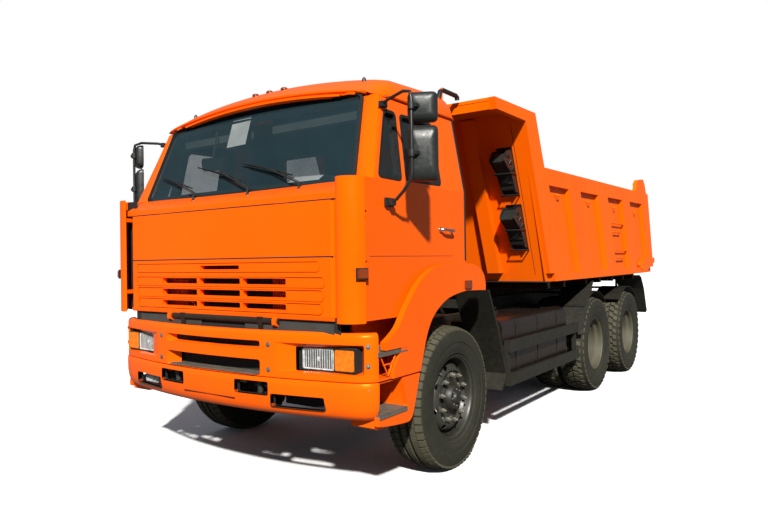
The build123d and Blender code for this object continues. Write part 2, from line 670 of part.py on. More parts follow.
LAMP_X = (735, BODY_HALF_WIDTH - 100)
LAMP_Z = (868, 1012)
with BuildPart() as bumper:
    bumper_shell((BUMPER_SPLIT_Z + 2, BUMPER_TOP_Z))
    for sign in (-1, 1):
        xs = sorted((sign * LAMP_X[0], sign * LAMP_X[1]))
        block(xs, (y_at(-1400), y_at(-1090)), LAMP_Z, mode=Mode.SUBTRACT)
        # shelf that carries the lamps
        shelf = sorted((sign * LAMP_X[0], sign * (LAMP_X[1] - 40)))
        block(shelf, (y_at(-1222), y_at(-1080)), (LAMP_Z[0] - 14, LAMP_Z[0]))
    block((-390, 390), (y_at(-1400), y_at(-1220)), (962, 998), mode=Mode.SUBTRACT)
    front_plate([(-470, 830), (-400, 888), (400, 888), (470, 830)], (-1400, -1200), mode=Mode.SUBTRACT)
    # feet behind the bumper, on the ends of the rails
    for x in (-RAIL_OUTER_X + 40, RAIL_OUTER_X - 40):
        block((x - 40, x + 40), (y_at(-1250), y_at(RAIL_FRONT - SEAT_GAP)), (900, 950))
    # lower half, below the joint line
    bumper_shell((BUMPER_BOTTOM_Z, BUMPER_SPLIT_Z - 2))
    front_plate([(-470, 845), (-440, 800), (440, 800), (470, 845)], (-1400, -1200), mode=Mode.SUBTRACT)
    for sign in (-1, 1):
        for low, high, z_range in ((270, 530, (692, 770)), (580, 985, (628, 702))):
            block(sorted((sign * low, sign * high)), (y_at(-1400), y_at(-1150)), z_range, mode=Mode.SUBTRACT)
        block(
            sorted((sign * (RAIL_OUTER_X - 80), sign * RAIL_OUTER_X)),
            (y_at(-1262), y_at(RAIL_FRONT - SEAT_GAP)), (RAIL_BOTTOM_Z + 36, 830),
        )
finish(bumper, "bumper")

with BuildPart() as lamps:
    block((LAMP_X[0] + 4, 968), (y_at(-1190), y_at(-1080)), (LAMP_Z[0] + SEAT_GAP, LAMP_Z[1] - 4))
    block((974, LAMP_X[1] - 4), (y_at(-1180), y_at(-1080)), (LAMP_Z[0] + SEAT_GAP, LAMP_Z[1] - 4))
    mirror(about=Plane.YZ)
finish(lamps, "lamps")

STEP_DEPTH = 230
LOWER_STEP_TOP_Z = 796
with BuildPart() as lower_steps:
    side_plate(
        [(-1036, 520), (-700, 506), (-581, LOWER_STEP_TOP_Z), (-1036, LOWER_STEP_TOP_Z)],
        (BODY_HALF_WIDTH - STEP_DEPTH, BODY_HALF_WIDTH),
    )
    side_plate(
        [(-1045, 600), (-700, 600), (-625, 780), (-1045, 780)],
        (BODY_HALF_WIDTH - STEP_DEPTH + 30, BODY_HALF_WIDTH + 5), mode=Mode.SUBTRACT,
    )
    # bracket from the rail
    block((RAIL_OUTER_X + SEAT_GAP, BODY_HALF_WIDTH - STEP_DEPTH), (y_at(-1020), y_at(-960)), (740, 790))
    mirror(about=Plane.YZ)
finish(lower_steps, "lower_steps")

# ================================================================ chassis equipment
TANK = {"x": (640, BODY_HALF_WIDTH - 110), "y": (915, 2530), "z": (470, 1020)}
TANK_BANDS = (1200, 1720, 2240)
BAND_WIDTH = 36
FILLER = (1000, 1000)
with BuildPart() as fuel_tank:
    with BuildSketch(Plane.XZ.offset(-y_at(TANK["y"][0]))) as section:
        with Locations((sum(TANK["x"]) / 2, sum(TANK["z"]) / 2)):
            RectangleRounded(TANK["x"][1] - TANK["x"][0], TANK["z"][1] - TANK["z"][0], 90)
    extrude(section.sketch, amount=TANK["y"][0] - TANK["y"][1])
    for station in (1200, 2200):
        bracket_x = (RAIL_OUTER_X + SEAT_GAP, TANK["x"][0] + 20)
        block(bracket_x, (y_at(station - 40), y_at(station + 40)), (760, 960))
    for station in TANK_BANDS:
        with BuildSketch(Plane.XZ.offset(-y_at(station))) as band:
            with Locations((sum(TANK["x"]) / 2, sum(TANK["z"]) / 2)):
                RectangleRounded(TANK["x"][1] - TANK["x"][0] + 8, TANK["z"][1] - TANK["z"][0] + 8, 94)
        extrude(band.sketch, amount=-BAND_WIDTH)
    # filler neck with its cap and the bar to turn it
    filler_top = TANK["z"][1] + 85
    upright_bar(46, FILLER, (TANK["z"][1] - 10, TANK["z"][1] + 30))
    upright_bar(56, FILLER, (TANK["z"][1] + 28, TANK["z"][1] + 56))
    upright_bar(10, FILLER, (TANK["z"][1] + 50, filler_top))
    cross_tube(9, (FILLER[0] - 46, FILLER[0] + 46), FILLER[1], filler_top - 4)
finish(fuel_tank, "fuel_tank")

AIR_TANK_R = 115
with BuildPart() as battery_and_air:
    block((-BODY_HALF_WIDTH + 110, -700), (y_at(915), y_at(1560)), (520, 960))
    block((-700, -RAIL_OUTER_X - SEAT_GAP), (y_at(1180), y_at(1280)), (760, 900))
    # air tanks behind it
    for z in (640, 880):
        long_tube(AIR_TANK_R, (-940, 1700, z), (-940, 2520, z))
        for station in (1700, 2520):
            with Locations((-940, y_at(station), z)):
                Sphere(AIR_TANK_R)
    # lid of the battery box, lipped over its sides
    block((-BODY_HALF_WIDTH + 104, -694), (y_at(909), y_at(1566)), (956, 990))
    block((-960, -RAIL_OUTER_X - SEAT_GAP), (y_at(2060), y_at(2140)), (740, 780))
finish(battery_and_air, "battery_and_air")

GUARD_X = BODY_HALF_WIDTH - 70
GUARD_RAILS = ((730, 830), (445, 545))
GUARD_POSTS = (
    # station of the post, stations of its arm's two faces
    (960, (860, 866)),
    (2700, (2670, 2730)),
)
with BuildPart() as guards:
    for low, high in GUARD_RAILS:
        block((GUARD_X, GUARD_X + 25), (y_at(930), y_at(2745)), (low, high))
    # posts, and the arms that carry them from the chassis rail
    for station, arm in GUARD_POSTS:
        post_z = (GUARD_RAILS[1][0], GUARD_RAILS[0][1])
        block((GUARD_X - 30, GUARD_X), (y_at(station - 30), y_at(station + 30)), post_z)
        block((RAIL_OUTER_X + SEAT_GAP, GUARD_X), (y_at(arm[0]), y_at(arm[1])), (750, 800))
    mirror(about=Plane.YZ)
    # under-run bar across the tail
    block((-1120, 1120), (y_at(5500), y_at(5560)), (640, 760))
    for x in (-400, 400):
        block((x - 35, x + 35), (y_at(RAIL_REAR + SEAT_GAP), y_at(5540)), (640, 960))
finish(guards, "guards")


with BuildPart() as mudguards:
    side_plate(
        [(560, 1278), (580, 1280), (745, 965), (895, 560), (800, 430), (780, 436), (872, 560), (722, 955)],
        (870, GUARD_X + 10),
    )
    block((RAIL_OUTER_X + SEAT_GAP, 880), (y_at(740), y_at(770)), (880, 930))
    guard_x = (880, BODY_HALF_WIDTH - 15)
    side_plate([(3200, 1262), (3214, 1270), (2976, 1000), (2780, 692), (2764, 700), (2960, 1008)], guard_x)
    side_plate(
        [(5360, 1268), (5376, 1276), (5470, 1244), (5620, 1080), (5778, 742), (5762, 736), (5604, 1072),
         (5460, 1232)],
        guard_x,
    )
    # arms from the rails, the rear one turned up to its guard
    for station, z in ((2950, 960), (5440, 940)):
        block((RAIL_OUTER_X + SEAT_GAP, 900), (y_at(station - 20), y_at(station + 20)), (z, z + 40))
    block((880, 900), (y_at(5420), y_at(5460)), (940, 1245))
    mirror(about=Plane.YZ)
finish(mudguards, "mudguards")

# ================================================================ cab
CAB_SECTION = ((CAB_HALF_WIDTH, CAB_FLOOR_Z - 40), (CAB_HALF_WIDTH, CAB_BELT_Z), (CAB_EAVE_X, CAB_EAVE_Z))


def wall_section(thickness):
    """Front-view section of the cab's left wall, floor to eave, as (x, z) points."""
    outer = list(CAB_SECTION)
    inner = [(x - thickness, z) for x, z in reversed(outer)]
    return outer + inner


DOOR_TOP_Z = 2585
ARCH_TOP_Z = 1500
DOOR_OUTLINE = (
    (DOOR_FRONT, 1172),
    (-730, 1172),
    (-400, 1392),
    (-150, 1480),
    (DOOR_REAR, ARCH_TOP_Z),
    (DOOR_REAR, DOOR_TOP_Z),
    (-771, DOOR_TOP_Z),
    (-1000, CAB_BELT_Z),
    (DOOR_FRONT, CAB_BELT_Z),
)
QUARTER_WINDOW = ((-955, 2048), (-700, 2048), (-645, 2495), (-772, 2495))
MAIN_WINDOW = ((-640, 2052), (-195, 2060), (-180, 2500), (-588, 2495))
DOOR_THICKNESS = 50
WINDOW_CORNER_R = 32
PILLAR_GAP = 8
DOOR_HINGE = (CAB_HALF_WIDTH - 10, -1100)
DOOR_HINGE_ZS = (1505, 1805)
HINGE_POCKET = 50
HINGE_ARM_HEIGHT = 30
HINGE_PIN_R = 6
HINGE_EYE_R = 10



with BuildPart() as door:
    front_plate(wall_section(DOOR_THICKNESS), (DOOR_FRONT, DOOR_REAR))
    side_plate(DOOR_OUTLINE, (900, 1300), mode=Mode.INTERSECT)
    for window in (QUARTER_WINDOW, MAIN_WINDOW):
        side_plate(window, (900, 1300), mode=Mode.SUBTRACT, corner_r=WINDOW_CORNER_R)
    # hinge pockets in the front edge, each with its pin
    for z in DOOR_HINGE_ZS:
        low, high = z - HINGE_POCKET / 2, z + HINGE_POCKET / 2
        pocket_y = (y_at(DOOR_FRONT - 20), y_at(DOOR_HINGE[1] + 20))
        block((1100, 1300), pocket_y, (low, high), mode=Mode.SUBTRACT)
        upright_bar(HINGE_PIN_R, DOOR_HINGE, (low - 8, high + 8))
write_pair(door, "door")

GLASS_DEPTH = 22
with BuildPart() as door_glass:
    outer = [(x - GLASS_DEPTH, z) for x, z in CAB_SECTION]
    inner = [(x - GLASS, z) for x, z in reversed(outer)]
    front_plate(outer + inner, (DOOR_FRONT, DOOR_REAR))
    with BuildSketch(Plane.YZ.offset(CAB_EAVE_X - 200)) as panes:
        for window in (QUARTER_WINDOW, MAIN_WINDOW):
            with BuildLine():
                Polyline(*[(y_at(station), z) for station, z in window], close=True)
            make_face()
        fillet(panes.vertices(), WINDOW_CORNER_R)
    extrude(panes.sketch, amount=400, mode=Mode.INTERSECT)
write_pair(door_glass, "door_glass")

MIRROR_ROD = (CAB_HALF_WIDTH + 203, -895)
HEADS = (
    # low z, high z, width of the head
    (2005, 2345, 185),
    (2365, 2550, 185),
)
MIRROR_FACE = 14
MIRROR_BACK = 44
with BuildPart() as mirrors:
    bent_tube(
        14,
        [(CAB_EAVE_X + 30, -790, 2520), (CAB_EAVE_X + 165, -850, 2540), (*MIRROR_ROD, 2480),
         (*MIRROR_ROD, 2020),
         (CAB_HALF_WIDTH + 140, -890, 1940), (CAB_HALF_WIDTH + 8, -860, 1890)],
        30,
    )
    block((CAB_HALF_WIDTH + SEAT_GAP, CAB_HALF_WIDTH + 16), (y_at(-900), y_at(-820)), (1850, 1930))
    block((CAB_EAVE_X + 17, CAB_EAVE_X + 45), (y_at(-815), y_at(-765)), (2512, 2545))
    for low, high, width in HEADS:
        middle = (MIRROR_ROD[0] + 60, y_at(MIRROR_ROD[1] + 32), (low + high) / 2)
        with BuildSketch(Plane(middle, x_dir=(0.88, 0.47, 0), z_dir=(0.47, -0.88, 0))) as face:
            RectangleRounded(width, high - low, 28)
        extrude(face.sketch, amount=MIRROR_FACE, taper=2)
        extrude(face.sketch, amount=-MIRROR_BACK, taper=24)
    # clamps on the upright tube
    for z in (2170, 2455):
        upright_bar(22, MIRROR_ROD, (z - 20, z + 20))
write_pair(mirrors, "mirrors")


TUNNEL_HALF = 430
TUNNEL_TOP_Z = 1560
FOOTWELL_REAR = -560
REAR_FLOOR_Z = 1330
FLOOR_HALF = CAB_HALF_WIDTH - DOOR_THICKNESS - RUNNING_GAP - CAB_SKIN
with BuildPart() as cab_floor:
    # footwell, riser and raised floor over the wheels
    side_plate(
        [(-1060, CAB_FLOOR_Z), (FOOTWELL_REAR, CAB_FLOOR_Z), (FOOTWELL_REAR, REAR_FLOOR_Z),
         (CAB_REAR - CAB_SKIN, REAR_FLOOR_Z), (CAB_REAR - CAB_SKIN, REAR_FLOOR_Z + CAB_SKIN),
         (FOOTWELL_REAR - CAB_SKIN, REAR_FLOOR_Z + CAB_SKIN),
         (FOOTWELL_REAR - CAB_SKIN, CAB_FLOOR_Z + CAB_SKIN), (-1060, CAB_FLOOR_Z + CAB_SKIN)],
        (-FLOOR_HALF, FLOOR_HALF),
    )
    # engine tunnel
    tunnel_outer = TUNNEL_HALF + CAB_SKIN
    tunnel_y = (y_at(-1060), y_at(CAB_REAR - CAB_SKIN))
    block((-tunnel_outer, tunnel_outer), tunnel_y, (CAB_FLOOR_Z, TUNNEL_TOP_Z))
    block(
        (-TUNNEL_HALF, TUNNEL_HALF), (y_at(-1070), y_at(CAB_REAR)),
        (CAB_FLOOR_Z - 10, TUNNEL_TOP_Z - CAB_SKIN), mode=Mode.SUBTRACT,
    )
    # hinge lugs at the front, round the torsion tube
    for x in (520, -550):
        side_plate(
            [(CAB_HINGE_STATION - 36, CAB_HINGE_Z - 20), (CAB_HINGE_STATION, CAB_HINGE_Z - 38),
             (CAB_HINGE_STATION + 60, CAB_HINGE_Z - 38), (-960, CAB_FLOOR_Z),
             (CAB_HINGE_STATION - 20, CAB_FLOOR_Z - 22), (CAB_HINGE_STATION - 36, CAB_HINGE_Z + 16)],
            (x, x + 30),
        )
    cross_tube(CAB_HINGE_R + SEAT_GAP, (-560, 560), CAB_HINGE_STATION, CAB_HINGE_Z, mode=Mode.SUBTRACT)
finish(cab_floor, "cab_floor")

SIDE_RAIL_FRONT = -740
SILL_HEIGHT = 60
POST_SECTION = (
    (CAB_HALF_WIDTH, REAR_FLOOR_Z + SILL_HEIGHT),
    (CAB_HALF_WIDTH, CAB_BELT_Z),
    (CAB_EAVE_X, CAB_EAVE_Z),
)
with BuildPart() as cab_sides:
    # rear quarter behind the door and rail over it
    front_plate(wall_section(CAB_SKIN), (SIDE_RAIL_FRONT, CAB_REAR))
    side_plate(
        [(SIDE_RAIL_FRONT - 100, 0), (DOOR_REAR + PILLAR_GAP, 0),
         (DOOR_REAR + PILLAR_GAP, DOOR_TOP_Z + PILLAR_GAP), (SIDE_RAIL_FRONT - 100, DOOR_TOP_Z + PILLAR_GAP)],
        (900, 1300), mode=Mode.SUBTRACT,
    )
    side_plate(
        [(SIDE_RAIL_FRONT - 100, 0), (CAB_REAR + 100, 0), (CAB_REAR + 100, REAR_FLOOR_Z),
         (SIDE_RAIL_FRONT - 100, REAR_FLOOR_Z)],
        (900, 1300), mode=Mode.SUBTRACT,
    )
    # sill inside the door's lower edge
    side_plate(
        [(-1058, CAB_FLOOR_Z), (FOOTWELL_REAR, CAB_FLOOR_Z), (FOOTWELL_REAR, REAR_FLOOR_Z),
         (CAB_REAR - CAB_SKIN, REAR_FLOOR_Z), (CAB_REAR - CAB_SKIN, REAR_FLOOR_Z + SILL_HEIGHT),
         (FOOTWELL_REAR - CAB_SKIN, REAR_FLOOR_Z + SILL_HEIGHT),
         (FOOTWELL_REAR - CAB_SKIN, CAB_FLOOR_Z + SILL_HEIGHT), (-1058, CAB_FLOOR_Z + SILL_HEIGHT)],
        (FLOOR_HALF, FLOOR_HALF + CAB_SKIN),
    )
    # door post between sill and rail, inside the door's rear edge
    front_plate(
        [(x - DOOR_THICKNESS - RUNNING_GAP, z) for x, z in POST_SECTION]
        + [(x - DOOR_THICKNESS - RUNNING_GAP - CAB_SKIN, z) for x, z in reversed(POST_SECTION)],
        (DOOR_REAR - 60, CAB_REAR - CAB_SKIN),
    )
    mirror(about=Plane.YZ)
finish(cab_sides, "cab_sides")

REAR_PANE_X = (120, 620)
REAR_PANE_Z = (2070, 2460)
with BuildPart() as cab_rear:
    eave = CAB_EAVE_X - CAB_SKIN
    belt = CAB_HALF_WIDTH - CAB_SKIN
    front_plate(
        [(-belt, REAR_FLOOR_Z), (belt, REAR_FLOOR_Z), (belt, CAB_BELT_Z), (eave, CAB_EAVE_Z),
         (-eave, CAB_EAVE_Z), (-belt, CAB_BELT_Z)],
        (CAB_REAR - CAB_SKIN, CAB_REAR),
    )
    front_plate(
        [(-TUNNEL_HALF, CAB_FLOOR_Z), (TUNNEL_HALF, CAB_FLOOR_Z),
         (TUNNEL_HALF, TUNNEL_TOP_Z - CAB_SKIN), (-TUNNEL_HALF, TUNNEL_TOP_Z - CAB_SKIN)],
        (CAB_REAR - 60, CAB_REAR + 20), mode=Mode.SUBTRACT,
    )
    for sign in (-1, 1):
        front_plate(
            [(sign * x, z) for x, z in zip(REAR_PANE_X + REAR_PANE_X[::-1], sorted(2 * REAR_PANE_Z))],
            (CAB_REAR - 60, CAB_REAR + 20), mode=Mode.SUBTRACT,
        )
    # breather pipe up the back of the cab and over towards the load
    bent_tube(
        17,
        [(925, CAB_REAR + 12, 1700), (925, CAB_REAR + 130, 1900), (925, 300, 2890), (925, 575, 2890),
         (925, 575, 2860)],
        26,
    )
finish(cab_rear, "cab_rear")


def screen_station(z):
    """Station of the windscreen's outer face at a height."""
    share = (z - SCREEN_BOTTOM[1]) / (SCREEN_TOP[1] - SCREEN_BOTTOM[1])
    return SCREEN_BOTTOM[0] + share * (SCREEN_TOP[0] - SCREEN_BOTTOM[0])


def screen_slab(half_widths, depths, heights, mode=Mode.ADD):
    """A slab in the windscreen's sloping plane, between two depths behind its outer face."""
    levels = []
    for half, z in zip(half_widths, heights):
        with BuildSketch(Plane.XY.offset(z)) as level:
            with Locations((0, y_at(screen_station(z) + sum(depths) / 2))):
                Rectangle(2 * half, depths[1] - depths[0])
        levels.append(level.sketch.faces()[0])
    loft(sections=levels, ruled=True, mode=mode)


FRONT_WALL_HALF = CAB_HALF_WIDTH - 110
with BuildPart() as cab_front:
    # screen pillars and header, with the opening for the screen
    screen_slab((CAB_HALF_WIDTH - 4, CAB_EAVE_X - 2), (0, 12), (CAB_BELT_Z, CAB_EAVE_Z))
    inner_reach = DOOR_THICKNESS + RUNNING_GAP
    screen_slab((CAB_HALF_WIDTH - inner_reach, CAB_EAVE_X - inner_reach), (11, 70), (CAB_BELT_Z, CAB_EAVE_Z))
    screen_slab(SCREEN_HALF_WIDTH, (-20, 90), (SCREEN_BOTTOM[1], SCREEN_TOP[1] - 20), mode=Mode.SUBTRACT)
    # scuttle under the screen
    side_plate(
        [(-1170, PANEL_TOP_Z + RUNNING_GAP), (-1060, PANEL_TOP_Z + RUNNING_GAP), (-950, CAB_BELT_Z - 10),
         (-950, CAB_BELT_Z), (-1020, CAB_BELT_Z), (-1170, PANEL_TOP_Z + 40)],
        (-FRONT_WALL_HALF, FRONT_WALL_HALF),
    )
    cross_tube(FLAP_PIN_R + SEAT_GAP, (-700, 700), FLAP_STATION, FLAP_Z, mode=Mode.SUBTRACT)
    # front wall behind the front panel, open at the engine tunnel
    block(
        (-FRONT_WALL_HALF, FRONT_WALL_HALF), (y_at(-1100), y_at(-1060)),
        (CAB_FLOOR_Z + SEAT_GAP, PANEL_TOP_Z + RUNNING_GAP + 10),
    )
    block(
        (-TUNNEL_HALF, TUNNEL_HALF), (y_at(-1120), y_at(-1040)), (CAB_FLOOR_Z - 10, TUNNEL_TOP_Z),
        mode=Mode.SUBTRACT,
    )
    # door hinges: arms from the front wall, with an eye round each door's pin
    for sign in (-1, 1):
        hinge = (sign * DOOR_HINGE[0], DOOR_HINGE[1])
        for z in DOOR_HINGE_ZS:
            low, high = z - HINGE_ARM_HEIGHT / 2, z + HINGE_ARM_HEIGHT / 2
            arm_x = sorted((sign * (FRONT_WALL_HALF - 5), hinge[0]))
            block(arm_x, (y_at(hinge[1] - 6), y_at(hinge[1] + 6)), (low, high))
            upright_bar(HINGE_EYE_R, hinge, (low, high))
            upright_bar(HINGE_PIN_R + SEAT_GAP, hinge, (low - 1, high + 1), mode=Mode.SUBTRACT)
finish(cab_front, "cab_front")

with BuildPart() as cab_glass:
    screen_slab(
        (SCREEN_HALF_WIDTH[0] - SEAT_GAP, SCREEN_HALF_WIDTH[1] - SEAT_GAP), (14, 14 + GLASS),
        (SCREEN_BOTTOM[1] + SEAT_GAP, SCREEN_TOP[1] - 20 - SEAT_GAP),
    )
    # panes in the rear wall
    for sign in (-1, 1):
        block(
            sorted((sign * (REAR_PANE_X[0] + SEAT_GAP), sign * (REAR_PANE_X[1] - SEAT_GAP))),
            (y_at(CAB_REAR - 26), y_at(CAB_REAR - 18)),
            (REAR_PANE_Z[0] + SEAT_GAP, REAR_PANE_Z[1] - SEAT_GAP),
        )
finish(cab_glass, "cab_glass")

ROOF_SECTIONS = (
    # station, half width at the eave, shoulder's X and Z, crown's Z
    (-850, CAB_EAVE_X - 10, 960, 2664, 2700),
    (-640, CAB_EAVE_X, 945, 2765, 2830),
    (-60, CAB_EAVE_X, 950, 2795, 2868),
    (CAB_REAR + 40, CAB_EAVE_X, 950, 2790, 2862),
)


def roof_section(station, half, shoulder_x, shoulder_z, crown_z):
    """Closed front-view section of the roof: flat foot, rounded sides and a crowned top."""
    middle = ((half + shoulder_x) / 2 + 26, (CAB_EAVE_Z + shoulder_z) / 2 + 22)
    with BuildSketch(Plane.XZ.offset(-y_at(station))) as section:
        with BuildLine():
            Line((-half, CAB_EAVE_Z + SEAT_GAP), (half, CAB_EAVE_Z + SEAT_GAP))
            ThreePointArc((half, CAB_EAVE_Z + SEAT_GAP), middle, (shoulder_x, shoulder_z))
            ThreePointArc((shoulder_x, shoulder_z), (0, crown_z), (-shoulder_x, shoulder_z))
            ThreePointArc((-shoulder_x, shoulder_z), (-middle[0], middle[1]), (-half, CAB_EAVE_Z + SEAT_GAP))
        make_face()
    return section.sketch.faces()[0]


with BuildPart() as cab_roof:
    loft(sections=[roof_section(*row) for row in ROOF_SECTIONS], ruled=True)
    first, last = ROOF_SECTIONS[0], ROOF_SECTIONS[-1]
    hollow = []
    for station, *sizes in ROOF_SECTIONS:
        inside = min(max(station, first[0] + CAB_SKIN), last[0] - CAB_SKIN)
        hollow.append(roof_section(inside, *[size - CAB_SKIN for size in sizes]))
    loft(sections=hollow, ruled=True, mode=Mode.SUBTRACT)
finish(cab_roof, "cab_roof")

with BuildPart() as front_panel:
    block(
        (-PANEL_HALF_WIDTH, PANEL_HALF_WIDTH), (y_at(PANEL_FACE), y_at(PANEL_FACE + PANEL_THICKNESS)),
        (PANEL_SPLIT_Z, PANEL_TOP_Z),
    )
    fillet(front_panel.edges().filter_by(Axis.Z).group_by(Axis.Y)[0], PANEL_SIDE_R)
    # hinge tubes along its upper edge
    for x in (-600, 600):
        cross_tube(FLAP_PIN_R, (x - 60, x + 60), FLAP_STATION, FLAP_Z)
finish(front_panel, "front_panel")

GRILLE_ROWS = ((1385, 1425), (1303, 1345), (1224, 1262))
GRILLE_HALF = 630
GRILLE_BARS = (-221, 221)
GRILLE_BAR_HALF = 12
UPPER_SLOT_HALF = 200
UPPER_SLOT_Z = (1485, 1512)
with BuildPart() as grille:
    block(
        (-PANEL_HALF_WIDTH, PANEL_HALF_WIDTH), (y_at(PANEL_FACE), y_at(PANEL_FACE + PANEL_THICKNESS)),
        (PANEL_BOTTOM_Z, PANEL_SPLIT_Z - 2),
    )
    fillet(grille.edges().filter_by(Axis.Z).group_by(Axis.Y)[0], PANEL_SIDE_R)
    through = (y_at(PANEL_FACE - 10), y_at(PANEL_FACE + PANEL_THICKNESS + 10))
    bar_edges = [x + side * GRILLE_BAR_HALF for x in GRILLE_BARS for side in (-1, 1)]
    edges = [-GRILLE_HALF] + bar_edges + [GRILLE_HALF]
    for low, high in GRILLE_ROWS:
        for left_x, right_x in zip(edges[::2], edges[1::2]):
            block((left_x, right_x), through, (low, high), mode=Mode.SUBTRACT)
    block((-UPPER_SLOT_HALF, UPPER_SLOT_HALF), through, UPPER_SLOT_Z, mode=Mode.SUBTRACT)
    # upright backing strap that joins the slotted panel to the plain one
    back = y_at(PANEL_FACE + PANEL_THICKNESS)
    block((-60, 60), (back, back + 14), (PANEL_SPLIT_Z - 40, PANEL_SPLIT_Z + 40))
finish(grille, "grille")

DEFLECTOR_X = CAB_HALF_WIDTH - 122
with BuildPart() as corner_deflectors:
    with BuildSketch(Plane.XY.offset(PANEL_BOTTOM_Z)) as plan:
        with BuildLine():
            outer = ThreePointArc(
                (DEFLECTOR_X, y_at(-1250)), (DEFLECTOR_X + 94, y_at(-1205)),
                (DEFLECTOR_X + 137, y_at(DOOR_FRONT - 12)),
            )
            inner = ThreePointArc(
                (DEFLECTOR_X + 108, y_at(DOOR_FRONT - 14)), (DEFLECTOR_X + 72, y_at(-1183)),
                (DEFLECTOR_X, y_at(-1222)),
            )
            Line(outer @ 1, inner @ 0)
            Line(inner @ 1, outer @ 0)
        make_face()
    extrude(plan.sketch, amount=CAB_BELT_Z - PANEL_BOTTOM_Z)
    # stays back to the cab's front wall
    for z in (1300, 1860):
        block((DEFLECTOR_X - 16, DEFLECTOR_X + 60), (y_at(-1212), y_at(-1100 - SEAT_GAP)), (z, z + 30))
    mirror(about=Plane.YZ)
finish(corner_deflectors, "corner_deflectors")

WING_SPLIT_Z = 802
WING_EDGE_R = 12
ARCH_LINE = (
    (391, 1300), (330, 1272), (30, 1285), (-180, 1262), (-360, 1175), (-510, 1010), (-580, WING_SPLIT_Z),
)
WING_OUTLINE = (
    (-1036, WING_SPLIT_Z), (-1036, 960), (-979, 1027), (-730, 1160), (-400, 1378), (-150, 1466), (130, 1500),
    (266, 1496), (330, 1440), *ARCH_LINE,
)
with BuildPart() as wings:
    side_plate(WING_OUTLINE, (CAB_HALF_WIDTH + 12, BODY_HALF_WIDTH))
    fillet(wings.faces().sort_by(Axis.X)[-1].edges(), WING_EDGE_R)
    # arch sheet over the wheel
    side_plate(
        [*ARCH_LINE, (-604, WING_SPLIT_Z), (-532, 1022), (-376, 1194), (-188, 1284), (30, 1309), (324, 1296)],
        (900, CAB_HALF_WIDTH + 12),
    )
    # face between the arch sheet and the upper step
    block((960, CAB_HALF_WIDTH + 12), (y_at(-1036), y_at(-600)), (WING_SPLIT_Z, WING_SPLIT_Z + 24))
    # stays up to the cab's floor
    block((1000, 1030), (y_at(-1000), y_at(-960)), (WING_SPLIT_Z + 10, CAB_FLOOR_Z - SEAT_GAP))
    block((1000, 1040), (y_at(0), y_at(60)), (1290, REAR_FLOOR_Z - SEAT_GAP))
    mirror(about=Plane.YZ)
finish(wings, "wings")

STEER_WHEEL = (640, -640, 1990)
STEER_TILT = 62
with BuildPart() as dashboard:
    side_plate(
        [(-1060 + SEAT_GAP, 1700), (-1060 + SEAT_GAP, 1892), (-944, 2004), (-830, 1990), (-740, 1900),
         (-780, 1700)],
        (-FRONT_WALL_HALF + 10, FRONT_WALL_HALF - 10),
    )
    # steering wheel and column
    rim_plane = Plane(
        origin=(STEER_WHEEL[0], y_at(STEER_WHEEL[1]), STEER_WHEEL[2]),
        z_dir=(0, sin(radians(90 - STEER_TILT)), cos(radians(90 - STEER_TILT))),
        x_dir=(1, 0, 0),
    )
    with Locations(rim_plane):
        Torus(230, 16)
        Cylinder(60, 50)
        Box(440, 34, 20)
        with Locations((0, 0, -110)):
            Cylinder(26, 220)
finish(dashboard, "dashboard")

SEAT_X = 700
with BuildPart() as seats:
    for x in (SEAT_X, -SEAT_X):
        side_plate(
            [(-520, 1480), (-30, 1440), (60, 2040), (-20, 2060), (-110, 1590), (-520, 1600)],
            (x - 215, x + 215), corner_r=24,
        )
        # raised edges of the cushion and of the back
        for low, high in ((x - 215, x - 160), (x + 160, x + 215)):
            side_plate([(-500, 1560), (-160, 1560), (-160, 1628), (-500, 1620)], (low, high), corner_r=20)
            side_plate([(-115, 1640), (-60, 1640), (20, 1980), (-50, 1985)], (low, high), corner_r=14)
        # headrest
        side_plate([(-30, 2040), (55, 2030), (72, 2210), (-8, 2220)], (x - 120, x + 120), corner_r=26)
        block((x - 180, x + 180), (y_at(-420), y_at(-80)), (REAR_FLOOR_Z + CAB_SKIN + SEAT_GAP, 1480))
finish(seats, "seats")

# ================================================================ tipping body
BED_REAR = LENGTH - FRONT_OVERHANG  # station of the rear corner
SIDE_OUT = BODY_HALF_WIDTH
SIDE_IN = BODY_HALF_WIDTH - SIDE_RECESS - SIDE_SKIN
SILL_TOP_Z = 1385
CHEEK_FOOT = 1686  # where the canopy's cheek comes down to the side rail


def leaned(station, z):
    """Station at height z of a line that starts at a station on the floor line and leans forward."""
    return station - (z - BED_FLOOR_Z - BED_FLOOR_THICKNESS) * BED_LEAN


def rail_top(station):
    """Height of the side rail's top, which rises a little to the rear."""
    share = (station - CHEEK_FOOT) / (5740 - CHEEK_FOOT)
    return RAIL_TOP_FRONT_Z + share * (RAIL_TOP_REAR_Z - RAIL_TOP_FRONT_Z)


